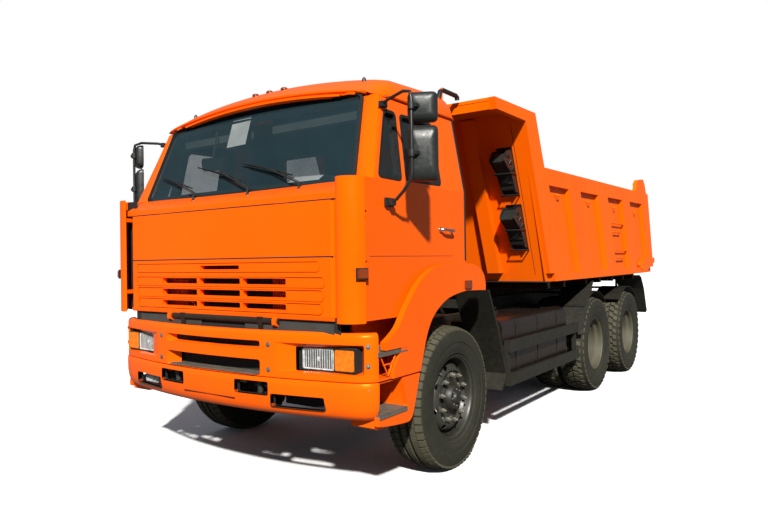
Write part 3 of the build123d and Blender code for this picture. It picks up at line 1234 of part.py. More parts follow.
SIDE_REAR = 6190
RIBS = (
    # foot of the rib's front edge and of its rear edge, as stations on the floor line
    (BED_FRONT, 2140),
    (2715, 3095),
    (3750, 4140),
    (4810, 5190),
    (5890, SIDE_REAR),
)
RIB_SLOPE = 30
TAIL_LEAN = 0.26  # forward lean of the tail end, per unit of height
rail_low = RAIL_TOP_FRONT_Z - TOP_RAIL_DEPTH
RUNGS = (
    # height, front end and rear end as stations
    (1960, 3950, 4540),
    (1850, 3985, 4390),
    (1620, 4075, 4680),
    (1520, 4120, 4560),
)
TIE_RINGS = (2430, 3430, 4480, 5520)
TIE_RING_Z = 2175
with BuildPart() as bed_sides:
    front_top = leaned(BED_FRONT, RAIL_TOP_FRONT_Z)
    rear_top = SIDE_REAR - (rail_top(5900) - BED_FLOOR_Z) * TAIL_LEAN
    rear_corner = (rear_top, rail_top(rear_top))
    top_line = [(CHEEK_FOOT, RAIL_TOP_FRONT_Z), (front_top, RAIL_TOP_FRONT_Z)]
    side_plate(
        [(BED_FRONT, BED_FLOOR_Z), (SIDE_REAR, BED_FLOOR_Z), rear_corner, *top_line],
        (SIDE_IN, SIDE_IN + SIDE_SKIN),
    )
    # top rail
    side_plate(
        [*top_line, (leaned(BED_FRONT, rail_low), rail_low),
         (rear_top + TOP_RAIL_DEPTH * TAIL_LEAN, rail_top(rear_top) - TOP_RAIL_DEPTH), rear_corner],
        (SIDE_IN, SIDE_OUT),
    )
    # sill along the floor
    side_plate(
        [(BED_FRONT + 140, BED_FLOOR_Z), (SIDE_REAR - 500, BED_FLOOR_Z), (SIDE_REAR - 500, SILL_TOP_Z),
         (BED_FRONT + 110, SILL_TOP_Z)],
        (SIDE_IN, SIDE_OUT),
    )
    # leaning ribs, trapezoid in section
    rib_root = SIDE_IN + SIDE_SKIN - 1
    for foot_front, foot_rear in RIBS:
        low_z, high_z = SILL_TOP_Z, rail_top(foot_rear) - TOP_RAIL_DEPTH
        sections = []
        for z in (low_z, high_z):
            a = leaned(foot_front, z)
            b = leaned(foot_rear, z) if foot_rear < SIDE_REAR else SIDE_REAR - (z - BED_FLOOR_Z) * TAIL_LEAN
            a_foot = a - RIB_SLOPE if foot_front > BED_FRONT else a
            b_foot = b + RIB_SLOPE if foot_rear < SIDE_REAR else b
            with BuildSketch(Plane.XY.offset(z)) as trapezoid:
                with BuildLine():
                    Polyline(
                        (rib_root, y_at(a_foot)), (SIDE_OUT, y_at(a)), (SIDE_OUT, y_at(b)),
                        (rib_root, y_at(b_foot)), close=True,
                    )
                make_face()
            sections.append(trapezoid.sketch.faces()[0])
        loft(sections=sections, ruled=True)
    # rear lower corner plate
    side_plate(
        [(5560, BED_FLOOR_Z), (5703, BED_FLOOR_Z), (BED_REAR, 1455), (BED_REAR, 1520), (5560, 1520)],
        (SIDE_IN, SIDE_OUT),
    )
    # horn that carries the tailgate pin
    side_plate(
        [(5170, 2445), (5800, 2450), (5700, 2600), (5605, 2660), (5290, 2620)], (SIDE_OUT - 50, SIDE_OUT)
    )
    # climbing rungs in one bay, and a tie ring in each bay
    foot_x = SIDE_IN + SIDE_SKIN - 2
    rung_x, ring_x = SIDE_OUT - 9, SIDE_OUT - 12
    for z, front, rear in RUNGS:
        bent_tube(8, [(foot_x, front, z), (rung_x, front, z), (rung_x, rear, z), (foot_x, rear, z)], 14)
    for station in TIE_RINGS:
        front, rear = leaned(station, TIE_RING_Z) - 35, leaned(station, TIE_RING_Z) + 35
        low = TIE_RING_Z - 25
        bent_tube(
            6,
            [(foot_x, front, TIE_RING_Z), (ring_x, front, low), (ring_x, rear, low),
             (foot_x, rear, TIE_RING_Z)],
            10,
        )
    mirror(about=Plane.YZ)
finish(bed_sides, "bed_sides")

CANOPY_FRONT = 609
CANOPY_REAR = 1477
CANOPY_DEPTH = 94
CANOPY_Z = 2847
FRONT_WALL = 60
POST_WIDTH = 150
with BuildPart() as bed_front:
    foot, head = leaned(BED_FRONT, BED_FLOOR_Z), leaned(BED_FRONT, CANOPY_Z)
    inner = SIDE_IN
    side_plate(
        [(foot, BED_FLOOR_Z), (head, CANOPY_Z), (head + FRONT_WALL, CANOPY_Z),
         (foot + FRONT_WALL, BED_FLOOR_Z)],
        (-inner, inner),
    )
    # canopy tray: top sheet, front lip
    side_plate(
        [(CANOPY_FRONT, CANOPY_Z), (CANOPY_REAR, CANOPY_Z + 22), (CANOPY_REAR, CANOPY_Z - 4),
         (CANOPY_FRONT, CANOPY_Z - 26)],
        (-inner, inner),
    )
    side_plate(
        [(CANOPY_FRONT, CANOPY_Z), (CANOPY_FRONT + 26, CANOPY_Z),
         (CANOPY_FRONT + 40, CANOPY_Z - CANOPY_DEPTH), (CANOPY_FRONT + 14, CANOPY_Z - CANOPY_DEPTH)],
        (-inner, inner),
    )
    # cheeks of the canopy, down to the side rails
    cheek = [
        (CANOPY_FRONT, CANOPY_Z), (CANOPY_REAR, CANOPY_Z + 22), (CHEEK_FOOT, RAIL_TOP_FRONT_Z),
        (leaned(BED_FRONT, RAIL_TOP_FRONT_Z), RAIL_TOP_FRONT_Z), (leaned(BED_FRONT, 2758), 2758),
        (CANOPY_FRONT + 33, CANOPY_Z - CANOPY_DEPTH),
    ]
    for x_range in ((inner, SIDE_OUT), (-SIDE_OUT, -inner)):
        side_plate(cheek, x_range)
    # upright channels on the wall
    for x in (700, -700):
        side_plate(
            [(leaned(BED_FRONT, 1390) - 90, 1390), (leaned(BED_FRONT, CANOPY_Z - 30) - 60, CANOPY_Z - 30),
             (leaned(BED_FRONT, CANOPY_Z - 30), CANOPY_Z - 30), (leaned(BED_FRONT, 1390), 1390)],
            (x - 65, x + 65),
        )
finish(bed_front, "bed_front")

LONGITUDINAL_X = 370
EYE_CHEEK_Z = 1205
with BuildPart() as bed_floor:
    floor_top = BED_FLOOR_Z + BED_FLOOR_THICKNESS
    wall_back = BED_FRONT + FRONT_WALL + SEAT_GAP
    side_plate(
        [(leaned(wall_back, BED_FLOOR_Z), BED_FLOOR_Z), (SIDE_REAR - 120, BED_FLOOR_Z),
         (SIDE_REAR - 120, floor_top), (leaned(wall_back, floor_top), floor_top)],
        (-SIDE_IN, SIDE_IN),
    )
    low = SUBFRAME_TOP_Z + RUNNING_GAP
    for x in (-LONGITUDINAL_X, LONGITUDINAL_X):
        block((x - 40, x + 40), (y_at(BED_FRONT + 40), y_at(5240)), (low, BED_FLOOR_Z))
    # cross bearers out to the sides
    for station in (1900, 2350, 3080, 3600, 4140, 4640, 5180):
        block((-SIDE_IN, SIDE_IN), (y_at(station - 35), y_at(station + 35)), (BED_FLOOR_Z - 70, BED_FLOOR_Z))
    # hinge lugs
    for x in (-TIP_LUG_X, TIP_LUG_X):
        side_plate(
            [(5330, BED_FLOOR_Z), (5520, BED_FLOOR_Z), (5480, 1060), (5430, 1010), (5370, 1010),
             (5325, 1060)],
            (x - 18, x + 18),
        )
    lug_reach = TIP_LUG_X + 30
    cross_tube(
        TIP_TUBE_R + SEAT_GAP, (-lug_reach, lug_reach), TIP_HINGE_STATION, TIP_HINGE_Z, mode=Mode.SUBTRACT
    )
    # cheeks for the hoist's eye
    for x in (-62, 42):
        block((x, x + 20), (y_at(HOIST_STATION - 60), y_at(HOIST_STATION + 60)), (EYE_CHEEK_Z, BED_FLOOR_Z))
finish(bed_floor, "bed_floor")

with BuildPart() as tailgate:
    gate_half = SIDE_IN - GATE_CLEARANCE
    low_z, high_z = BED_FLOOR_Z + BED_FLOOR_THICKNESS + GATE_CLEARANCE, 2400
    rear_low, rear_high = [SIDE_REAR - 20 - (z - BED_FLOOR_Z) * TAIL_LEAN for z in (low_z, high_z)]
    side_plate(
        [(rear_low - GATE_DEPTH, low_z), (rear_low, low_z), (rear_high, high_z),
         (rear_high - GATE_DEPTH, high_z)],
        (-gate_half, gate_half),
    )
    # arms up to the pins
    for sign in (-1, 1):
        xs = sorted((sign * (gate_half - 60), sign * gate_half))
        side_plate(
            [(rear_high - GATE_DEPTH, high_z - 200), (rear_high, high_z - 200), (rear_high, high_z),
             (GATE_PIN[0] + 30, GATE_PIN[1] + 45), (GATE_PIN[0] - 40, GATE_PIN[1] + 30),
             (GATE_PIN[0] - 40, GATE_PIN[1] - 40)],
            xs,
        )
        cross_tube(24, sorted((sign * (gate_half - 20), sign * (SIDE_OUT - 50 - SEAT_GAP))), *GATE_PIN)
finish(tailgate, "tailgate")

CHOCK_PLACES = (
    # x and height of each chock's middle on the front wall
    (BODY_HALF_WIDTH - 250, 2340),
    (BODY_HALF_WIDTH - 250, 1830),
)
with BuildPart() as wheel_chocks:
    for x, z in CHOCK_PLACES:
        low, high = z - 200, z + 200
        wall = {height: leaned(BED_FRONT, height) - SEAT_GAP for height in (low, high)}
        side_plate(
            [(wall[low], low), (wall[low] - 70, low), (wall[high] - 215, high - 90), (wall[high] - 140, high),
             (wall[high], high)],
            (x - 80, x + 80),
        )
finish(wheel_chocks, "wheel_chocks")

# ================================================================ hoist
STAGE_WALL = 8
STAGE_GAP = 5
STAGE_LOW_Z = 690
BARREL_TOP_Z = 1180
STAGES = 4
EYE_Z = 1245
EYE_R = 34
GLAND_HEIGHT = 20


def tube_with_gland(radius, low, high, mouth_low):
    """A hoist tube, narrowed at its top to guide the next stage."""
    axis_y = y_at(HOIST_STATION)
    with Locations((0, axis_y, (low + high) / 2)):
        Cylinder(radius, high - low)
    with Locations((0, axis_y, (mouth_low + high - GLAND_HEIGHT) / 2)):
        Cylinder(radius - STAGE_WALL, high - GLAND_HEIGHT - mouth_low, mode=Mode.SUBTRACT)
    with Locations((0, axis_y, high - GLAND_HEIGHT / 2)):
        Cylinder(radius - STAGE_WALL - STAGE_GAP + SEAT_GAP, GLAND_HEIGHT + 2, mode=Mode.SUBTRACT)


with BuildPart() as hoist_barrel:
    tube_with_gland(HOIST_BARREL_R, STAGE_LOW_Z, BARREL_TOP_Z, STAGE_LOW_Z + 12)
    for x_range in ((HOIST_BARREL_R - 4, HOIST_BARREL_R + 70), (-HOIST_BARREL_R - 70, -HOIST_BARREL_R + 4)):
        cross_tube(TRUNNION_R, x_range, HOIST_STATION, HOIST_PIVOT_Z)
finish(hoist_barrel, "hoist_barrel")

for index in range(1, STAGES + 1):
    low, high = STAGE_LOW_Z + 12 + 4 * index, BARREL_TOP_Z + 3 * index
    with BuildPart() as stage:
        tube_with_gland(HOIST_BARREL_R - index * (STAGE_WALL + STAGE_GAP), low, high, low)
    finish(stage, f"hoist_stage_{index}")

with BuildPart() as hoist_rod:
    rod_low = STAGE_LOW_Z + 12 + 4 * (STAGES + 1)
    with Locations((0, y_at(HOIST_STATION), (rod_low + EYE_Z) / 2)):
        Cylinder(HOIST_BARREL_R - (STAGES + 1) * (STAGE_WALL + STAGE_GAP), EYE_Z - rod_low)
    cross_tube(EYE_R, (-40, 40), HOIST_STATION, EYE_Z)
finish(hoist_rod, "hoist_rod")
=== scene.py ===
import bmesh
import bpy
from math import cos, pi, radians, sin, tau
from mathutils import Matrix, Vector


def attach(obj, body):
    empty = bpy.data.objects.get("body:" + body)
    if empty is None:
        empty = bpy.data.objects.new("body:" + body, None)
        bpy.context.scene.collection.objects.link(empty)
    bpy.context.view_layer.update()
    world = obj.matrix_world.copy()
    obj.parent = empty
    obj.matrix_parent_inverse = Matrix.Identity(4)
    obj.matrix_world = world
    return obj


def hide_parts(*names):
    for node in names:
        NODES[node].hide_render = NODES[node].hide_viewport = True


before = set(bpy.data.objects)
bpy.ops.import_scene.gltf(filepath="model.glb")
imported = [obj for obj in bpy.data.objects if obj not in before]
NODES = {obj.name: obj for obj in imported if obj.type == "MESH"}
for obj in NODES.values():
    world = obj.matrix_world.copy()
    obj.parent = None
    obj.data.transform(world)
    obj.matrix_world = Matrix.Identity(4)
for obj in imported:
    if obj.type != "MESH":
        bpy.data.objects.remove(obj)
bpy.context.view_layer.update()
SIDES = ((1, "left"), (-1, "right"))
UP = Vector((0, 0, 1))
LEFT = Vector((1, 0, 0))
FORWARD = Vector((0, -1, 0))
FRONT_AXLE_Y = -2.485
AXLES = {"front": 0, "mid": 3.34, "rear": 4.78}  # stations, behind the front axle
FRONT_TYRE_R, FRONT_TYRE_WIDTH, FRONT_TYRE_X = 0.521, 0.296, 1.050
REAR_TYRE_R, REAR_TYRE_WIDTH = 0.538, 0.300
REAR_OUTER_X, REAR_INNER_X = 1.085, 0.740  # middles of the twin tyres
CAB_HALF = 1.200  # the doors' outer face
BELT_Z = 2.030  # foot of the windows, where the cab starts to lean in
PANEL_Y = -1.180  # station of the front panels' face
PANEL_HALF = 1.018
BODY_FRONT = 1.800  # station of the tipping body's front wall, at its foot


def at(x, station, z):
    """A point, from its distance behind the front axle."""
    return Vector((x, FRONT_AXLE_Y + station, z))


def pair(sign, x0, x1):
    """Both X values on the left or the right side, the lower one first."""
    return sorted((sign * x0, sign * x1))


def round_axle(out, angle):
    """The direction from an axle's middle to a point of its wheel."""
    return UP * cos(angle) + out.cross(UP) * sin(angle)


# ---------------------------------------------------------------- camera, light and floor
CAMERA_PLACE = (3.430, -6.5754, 1.5261)
CAMERA_TURN = (-0.6117, 0.0081, -0.0144)  # yaw, pitch and roll in radians
LENS_MM = 29.63
SUNLIGHT = (-0.49, 0.65, -0.58)  # the way that the light goes
SUN_ENERGY, SKY_STRENGTH = 7.4, 0.23
FLOOR_LIGHTING_GREY, FLOOR_SEEN_GREY = 0.13, 0.93
FLOOR_HALF = 60


def make_camera():
    """The camera, where the photograph was taken from."""
    data = bpy.data.cameras.new("camera")
    camera = bpy.data.objects.new("camera", data)
    bpy.context.scene.collection.objects.link(camera)
    yaw, pitch, roll = CAMERA_TURN
    ahead = Vector((sin(yaw) * cos(pitch), cos(yaw) * cos(pitch), sin(pitch)))
    right = ahead.cross(UP).normalized()
    up = right.cross(ahead)
    rolled_right = cos(roll) * right + sin(roll) * up
    rolled_up = cos(roll) * up - sin(roll) * right
    pose = Matrix((rolled_right, rolled_up, -ahead)).transposed().to_4x4()
    pose.translation = Vector(CAMERA_PLACE)
    camera.matrix_world = pose
    data.sensor_width = 36
    data.lens = LENS_MM
    data.clip_end = 200
    bpy.context.scene.camera = camera


def seen_or_lighting(tree, lighting, seen):
    """One shader for rays that light things, another for what is seen or looked through."""
    path = tree.nodes.new("ShaderNodeLightPath")
    either = tree.nodes.new("ShaderNodeMath")
    either.operation = "MAXIMUM"
    tree.links.new(path.outputs["Is Camera Ray"], either.inputs[0])
    tree.links.new(path.outputs["Is Transmission Ray"], either.inputs[1])
    mix = tree.nodes.new("ShaderNodeMixShader")
    tree.links.new(either.outputs[0], mix.inputs[0])
    tree.links.new(lighting, mix.inputs[1])
    tree.links.new(seen, mix.inputs[2])
    return mix.outputs[0]


def make_light():
    """A sun, and a sky that is seen white and lights the object pale blue."""
    world = bpy.data.worlds.new("world")
    bpy.context.scene.world = world
    world.use_nodes = True
    nodes, links = world.node_tree.nodes, world.node_tree.links
    nodes.clear()
    out = nodes.new("ShaderNodeOutputWorld")
    sky = nodes.new("ShaderNodeBackground")
    sky.inputs["Color"].default_value = (0.80, 0.88, 1.0, 1)
    sky.inputs["Strength"].default_value = SKY_STRENGTH
    white = nodes.new("ShaderNodeBackground")
    white.inputs["Color"].default_value = (1, 1, 1, 1)
    white.inputs["Strength"].default_value = 1.0
    shown = seen_or_lighting(world.node_tree, sky.outputs[0], white.outputs[0])
    links.new(shown, out.inputs["Surface"])
    sun = bpy.data.lights.new("sun", "SUN")
    sun.energy = SUN_ENERGY
    sun.angle = radians(2.5)
    sun.color = (1.0, 0.97, 0.92)
    lamp = bpy.data.objects.new("sun", sun)
    lamp.rotation_mode = "QUATERNION"
    lamp.rotation_quaternion = Vector(SUNLIGHT).to_track_quat("-Z", "Y")
    bpy.context.scene.collection.objects.link(lamp)


def make_floor():
    """A pale floor: white where it is seen, grey where it lights the object."""
    mesh = bpy.data.meshes.new("floor")
    corners = [(x * FLOOR_HALF, y * FLOOR_HALF, 0) for x, y in ((-1, -1), (1, -1), (1, 1), (-1, 1))]
    mesh.from_pydata(corners, [], [(0, 1, 2, 3)])
    floor = bpy.data.objects.new("floor", mesh)
    bpy.context.scene.collection.objects.link(floor)
    pale = bpy.data.materials.new("pale_floor")
    pale.use_nodes = True
    tree = pale.node_tree
    tree.nodes.clear()
    surfaces = []
    for grey in (FLOOR_LIGHTING_GREY, FLOOR_SEEN_GREY):
        surface = tree.nodes.new("ShaderNodeBsdfDiffuse")
        surface.inputs["Color"].default_value = (grey, grey, grey, 1)
        surfaces.append(surface.outputs[0])
    shown = seen_or_lighting(tree, *surfaces)
    tree.links.new(shown, tree.nodes.new("ShaderNodeOutputMaterial").inputs["Surface"])
    mesh.materials.append(pale)


make_camera()
make_light()
make_floor()
bpy.context.scene.view_settings.view_transform = "Standard"


# ---------------------------------------------------------------- materials
def new_material(name, **settings):
    """A material, its node tree, its shader with the given settings, and the object's own coordinates."""
    made = bpy.data.materials.new(name)
    made.use_nodes = True
    tree = made.node_tree
    shader = tree.nodes["Principled BSDF"]
    for socket, value in settings.items():
        shader.inputs[socket.replace("_", " ")].default_value = value
    return made, tree, shader, tree.nodes.new("ShaderNodeTexCoord").outputs["Object"]


def noise(tree, source, size, detail):
    """A cloudy pattern between 0 and 1."""
    node = tree.nodes.new("ShaderNodeTexNoise")
    node.inputs["Scale"].default_value = size
    node.inputs["Detail"].default_value = detail
    tree.links.new(source, node.inputs["Vector"])
    return node.outputs["Fac"]


def ranged(tree, value, low, high, to_low, to_high):
    """A value carried from one range to another, and held inside it."""
    node = tree.nodes.new("ShaderNodeMapRange")
    for socket, limit in (("From Min", low), ("From Max", high), ("To Min", to_low), ("To Max", to_high)):
        node.inputs[socket].default_value = limit
    tree.links.new(value, node.inputs["Value"])
    return node.outputs["Result"]


def mixed(tree, factor, a, b):
    """Two colours mixed; each is a tuple or another node's output."""
    node = tree.nodes.new("ShaderNodeMix")
    node.data_type = "RGBA"
    tree.links.new(factor, node.inputs[0])
    for socket, value in ((node.inputs[6], a), (node.inputs[7], b)):
        if isinstance(value, tuple):
            socket.default_value = (*value, 1)
        else:
            tree.links.new(value, socket)
    return node.outputs[2]


def material(
    name, colour, other, rough, scale, spread=0.5, dust_and_shade=None, patchy=True, bump=None, coarse=None,
    metallic=0.0, coat=0.0, specular=0.5, streak=False, rough_spread=0.08, tint=None,
):
    """A worn surface: two mixed tones, dust that gathers low down, which on the body floor's underside is
    painted shade, and a fine bump.

    Dust and shade is a colour, the heights where it is thickest and where it ends, and an amount.
    A bump, fine or coarse, is the scale of its noise and its strength.
    """
    made, tree, shader, place = new_material(
        name, Metallic=metallic, Coat_Weight=coat, Coat_Roughness=0.08, Specular_IOR_Level=specular)
    nodes, links = tree.nodes, tree.links
    if tint:
        shader.inputs["Specular Tint"].default_value = (*tint, 1)
    mapping = nodes.new("ShaderNodeMapping")
    mapping.inputs["Scale"].default_value = (1, 1, 0.18) if streak else (1, 1, 1)
    links.new(place, mapping.inputs["Vector"])
    stretched = mapping.outputs["Vector"]
    cloud = noise(tree, stretched, scale, 6)
    tone = mixed(tree, ranged(tree, cloud, 0.5 - spread / 2, 0.5 + spread / 2, 0, 1), colour, other)
    if dust_and_shade:
        # colour low down: dust on most materials, painted shade under the body's floor
        dust_and_shade_colour, full_z, end_z, amount = dust_and_shade
        split = nodes.new("ShaderNodeSeparateXYZ")
        links.new(place, split.inputs[0])
        patches = noise(tree, stretched, scale * 4, 8)
        times = nodes.new("ShaderNodeMath")
        times.operation = "MULTIPLY"
        links.new(ranged(tree, split.outputs["Z"], full_z, end_z, 1, 0), times.inputs[0])
        links.new(ranged(tree, patches, 0.35, 0.7, 0.25 if patchy else 1, 1), times.inputs[1])
        tone = mixed(tree, ranged(tree, times.outputs[0], 0, 1, 0, amount), tone, dust_and_shade_colour)
    links.new(tone, shader.inputs["Base Color"])
    grime = noise(tree, place, scale * 7, 5)
    worn = ranged(tree, grime, 0.3, 0.7, rough - rough_spread, rough + rough_spread)
    links.new(worn, shader.inputs["Roughness"])
    normal = None
    for form, detail, distance in ((coarse, 2, 0.01), (bump, 3, 0.002)):
        if form is None:
            continue
        size, strength = form
        raised = nodes.new("ShaderNodeBump")
        raised.inputs["Strength"].default_value = strength
        raised.inputs["Distance"].default_value = distance
        links.new(noise(tree, place, size, detail), raised.inputs["Height"])
        if normal is not None:
            links.new(normal, raised.inputs["Normal"])
        normal = raised.outputs[0]
    if normal is not None:
        links.new(normal, shader.inputs["Normal"])
    return made


def glass(name, colour, rough, alpha, specular):
    """A pane that shows what lies behind it, tinted and a little dusty."""
    made, tree, shader, place = new_material(
        name, Base_Color=(*colour, 1), Roughness=rough, Specular_IOR_Level=specular)
    film = noise(tree, place, 2.5, 6)
    tree.links.new(ranged(tree, film, 0.3, 0.7, alpha * 0.85, alpha * 1.15), shader.inputs["Alpha"])
    return made


TINT = (1.0, 0.42, 0.06)  # colour of the orange paint's sheen
MATERIALS = {
    "cab": material(
        "orange_cab", (0.90, 0.108, 0.0008), (0.84, 0.094, 0.0006), 0.30, 1.3,
        dust_and_shade=((0.60, 0.11, 0.012), 0.4, 1.25, 0.3), bump=(320, 0.03), coarse=(1.4, 0.06), tint=TINT),
    "bed": material(
        "orange_bed", (0.90, 0.130, 0.0008), (0.84, 0.108, 0.0006), 0.46, 1.6,
        dust_and_shade=((0.58, 0.13, 0.010), 1.2, 1.8, 0.3), bump=(240, 0.06), coarse=(2.2, 0.10), streak=True,
        specular=0.3, tint=TINT),
    # the floor's underside is painted near-black: the colour low down, full below Z 1.345, is painted shade
    # under the body
    "bed_floor": material(
        "orange_over_painted_shade", (0.84, 0.120, 0.0008), (0.60, 0.090, 0.004), 0.55, 1.6,
        dust_and_shade=((0.007, 0.0065, 0.0045), 1.345, 1.352, 1.0), patchy=False, bump=(240, 0.06), specular=0.3,
        tint=TINT),
    "chassis": material(
        "chassis_black", (0.0070, 0.0068, 0.0046), (0.013, 0.0125, 0.0080), 0.50, 5,
        dust_and_shade=((0.07, 0.065, 0.040), 0.2, 1.4, 0.18), bump=(160, 0.12)),
    "cast": material(
        "cast_iron", (0.022, 0.021, 0.017), (0.040, 0.036, 0.026), 0.7, 9,
        dust_and_shade=((0.16, 0.13, 0.085), 0.1, 1.3, 0.35), bump=(140, 0.35)),
    "rim_front": material(
        "rim_slate", (0.020, 0.022, 0.018), (0.030, 0.031, 0.023), 0.42, 8,
        dust_and_shade=((0.08, 0.07, 0.045), 0.0, 1.2, 0.20), bump=(220, 0.08)),
    "rim_rear": material(
        "rim_sand", (0.050, 0.047, 0.030), (0.076, 0.070, 0.045), 0.60, 8,
        dust_and_shade=((0.085, 0.075, 0.048), 0.0, 1.3, 0.45), bump=(200, 0.1)),
    "rubber": material(
        "tyre_rubber", (0.013, 0.0130, 0.0088), (0.022, 0.0215, 0.014), 0.78, 7,
        dust_and_shade=((0.042, 0.039, 0.024), -0.1, 1.4, 0.45), bump=(260, 0.25), specular=0.3),
    "tread": material(
        "tyre_tread", (0.046, 0.045, 0.028), (0.070, 0.066, 0.042), 0.85, 9,
        dust_and_shade=((0.10, 0.09, 0.06), -0.1, 1.4, 0.5), bump=(260, 0.25), specular=0.25),
    "seal": material(
        "seal_rubber", (0.007, 0.008, 0.008), (0.012, 0.013, 0.013), 0.5, 20, bump=(400, 0.1), specular=0.35),
    "plastic": material(
        "black_plastic", (0.010, 0.013, 0.012), (0.018, 0.021, 0.019), 0.38, 6, bump=(900, 0.18)),
    "tank": material(
        "tank_rust", (0.014, 0.0075, 0.0052), (0.0075, 0.0058, 0.0038), 0.30, 4,
        dust_and_shade=((0.07, 0.055, 0.035), 0.4, 1.1, 0.12), bump=(180, 0.08)),
    "zinc": material(
        "zinc_grating", (0.20, 0.19, 0.17), (0.11, 0.10, 0.08), 0.52, 26, metallic=0.5,
        dust_and_shade=((0.25, 0.18, 0.11), 0.3, 1.4, 0.5), bump=(300, 0.3)),
    "strip": material("grey_strip", (0.030, 0.033, 0.030), (0.050, 0.052, 0.046), 0.45, 6, bump=(300, 0.1)),
    "chrome": material("bright_chrome", (0.60, 0.60, 0.61), (0.48, 0.48, 0.50), 0.16, 12, metallic=1.0),
    "steel": material(
        "worn_steel", (0.24, 0.235, 0.20), (0.13, 0.12, 0.09), 0.45, 30, metallic=0.6, bump=(300, 0.15)),
    "dark": material("dark_inside", (0.006, 0.0065, 0.006), (0.011, 0.011, 0.010), 0.8, 6),
    "cloth": material("seat_cloth", (0.030, 0.033, 0.036), (0.050, 0.052, 0.055), 0.9, 40, bump=(700, 0.4)),
    "lining": material("cab_lining", (0.10, 0.11, 0.11), (0.07, 0.08, 0.08), 0.8, 5, bump=(500, 0.1)),
    "paper": material("paper", (0.84, 0.88, 0.86), (0.74, 0.79, 0.77), 0.8, 20),
    "reflector": material(
        "lamp_reflector", (0.86, 0.90, 0.90), (0.50, 0.54, 0.54), 0.20, 34, metallic=0.30, spread=0.25),
    "mirror": material(
        "mirror_face", (0.80, 0.82, 0.84), (0.76, 0.78, 0.80), 0.04, 6, metallic=1.0, rough_spread=0.02),
    "glass": glass("cab_glazing", (0.013, 0.034, 0.043), 0.03, 0.56, 0.6),
    "side_glass": glass("door_glazing", (0.018, 0.026, 0.026), 0.04, 0.46, 0.6),
    "lens": glass("lamp_lens", (0.50, 0.53, 0.53), 0.06, 0.12, 0.9),
    "amber": material("amber_lens", (0.78, 0.20, 0.006), (0.50, 0.10, 0.003), 0.18, 40, coat=0.5),
    "red": material("red_lens", (0.28, 0.016, 0.006), (0.20, 0.010, 0.005), 0.2, 40, coat=0.5),
    "brown": material("repeater_lens", (0.20, 0.030, 0.004), (0.14, 0.020, 0.003), 0.25, 60, coat=0.4),
}
NODE_FINISH = {
    "rim_front": ("front_rim_left", "front_rim_right"),
    "rim_rear": ("mid_rims_left", "mid_rims_right", "rear_rims_left", "rear_rims_right"),
    "cast": ("knuckle_left", "knuckle_right", "tie_rod", "front_axle", "drive_axles", "springs",
             "engine_block"),
    "chassis": ("frame", "subframe", "mudguards", "battery_and_air", "radiator", "guards", "hoist_barrel"),
    "tank": ("fuel_tank",),
    "cab": ("bumper", "lower_steps", "door_left", "door_right", "cab_sides", "cab_floor", "cab_rear",
            "cab_front", "cab_roof", "front_panel", "grille", "corner_deflectors", "wings"),
    "bed": ("bed_sides", "bed_front", "tailgate"),
    "bed_floor": ("bed_floor",),
    "side_glass": ("door_glass_left", "door_glass_right"),
    "glass": ("cab_glass",),
    "plastic": ("mirrors_left", "mirrors_right", "dashboard", "wheel_chocks", "lamps"),
    "cloth": ("seats",),
    "chrome": ("hoist_stage_1", "hoist_stage_2", "hoist_stage_3", "hoist_stage_4", "hoist_rod"),
}
for finish, names in NODE_FINISH.items():
    for name in names:
        node = NODES[name]
        if not node.material_slots:
            node.data.materials.append(None)
        for slot in node.material_slots:
            slot.link = "OBJECT"
            slot.material = MATERIALS[finish]


# ---------------------------------------------------------------- mesh making
BEVEL_FROM_DEG, SHARP_FROM_DEG = 35, 38


def circle(centre, side, other, radius, n):
    """Points on a circle that starts at one side and turns towards the other."""
    return [centre + (side * cos(tau * k / n) + other * sin(tau * k / n)) * radius for k in range(n)]


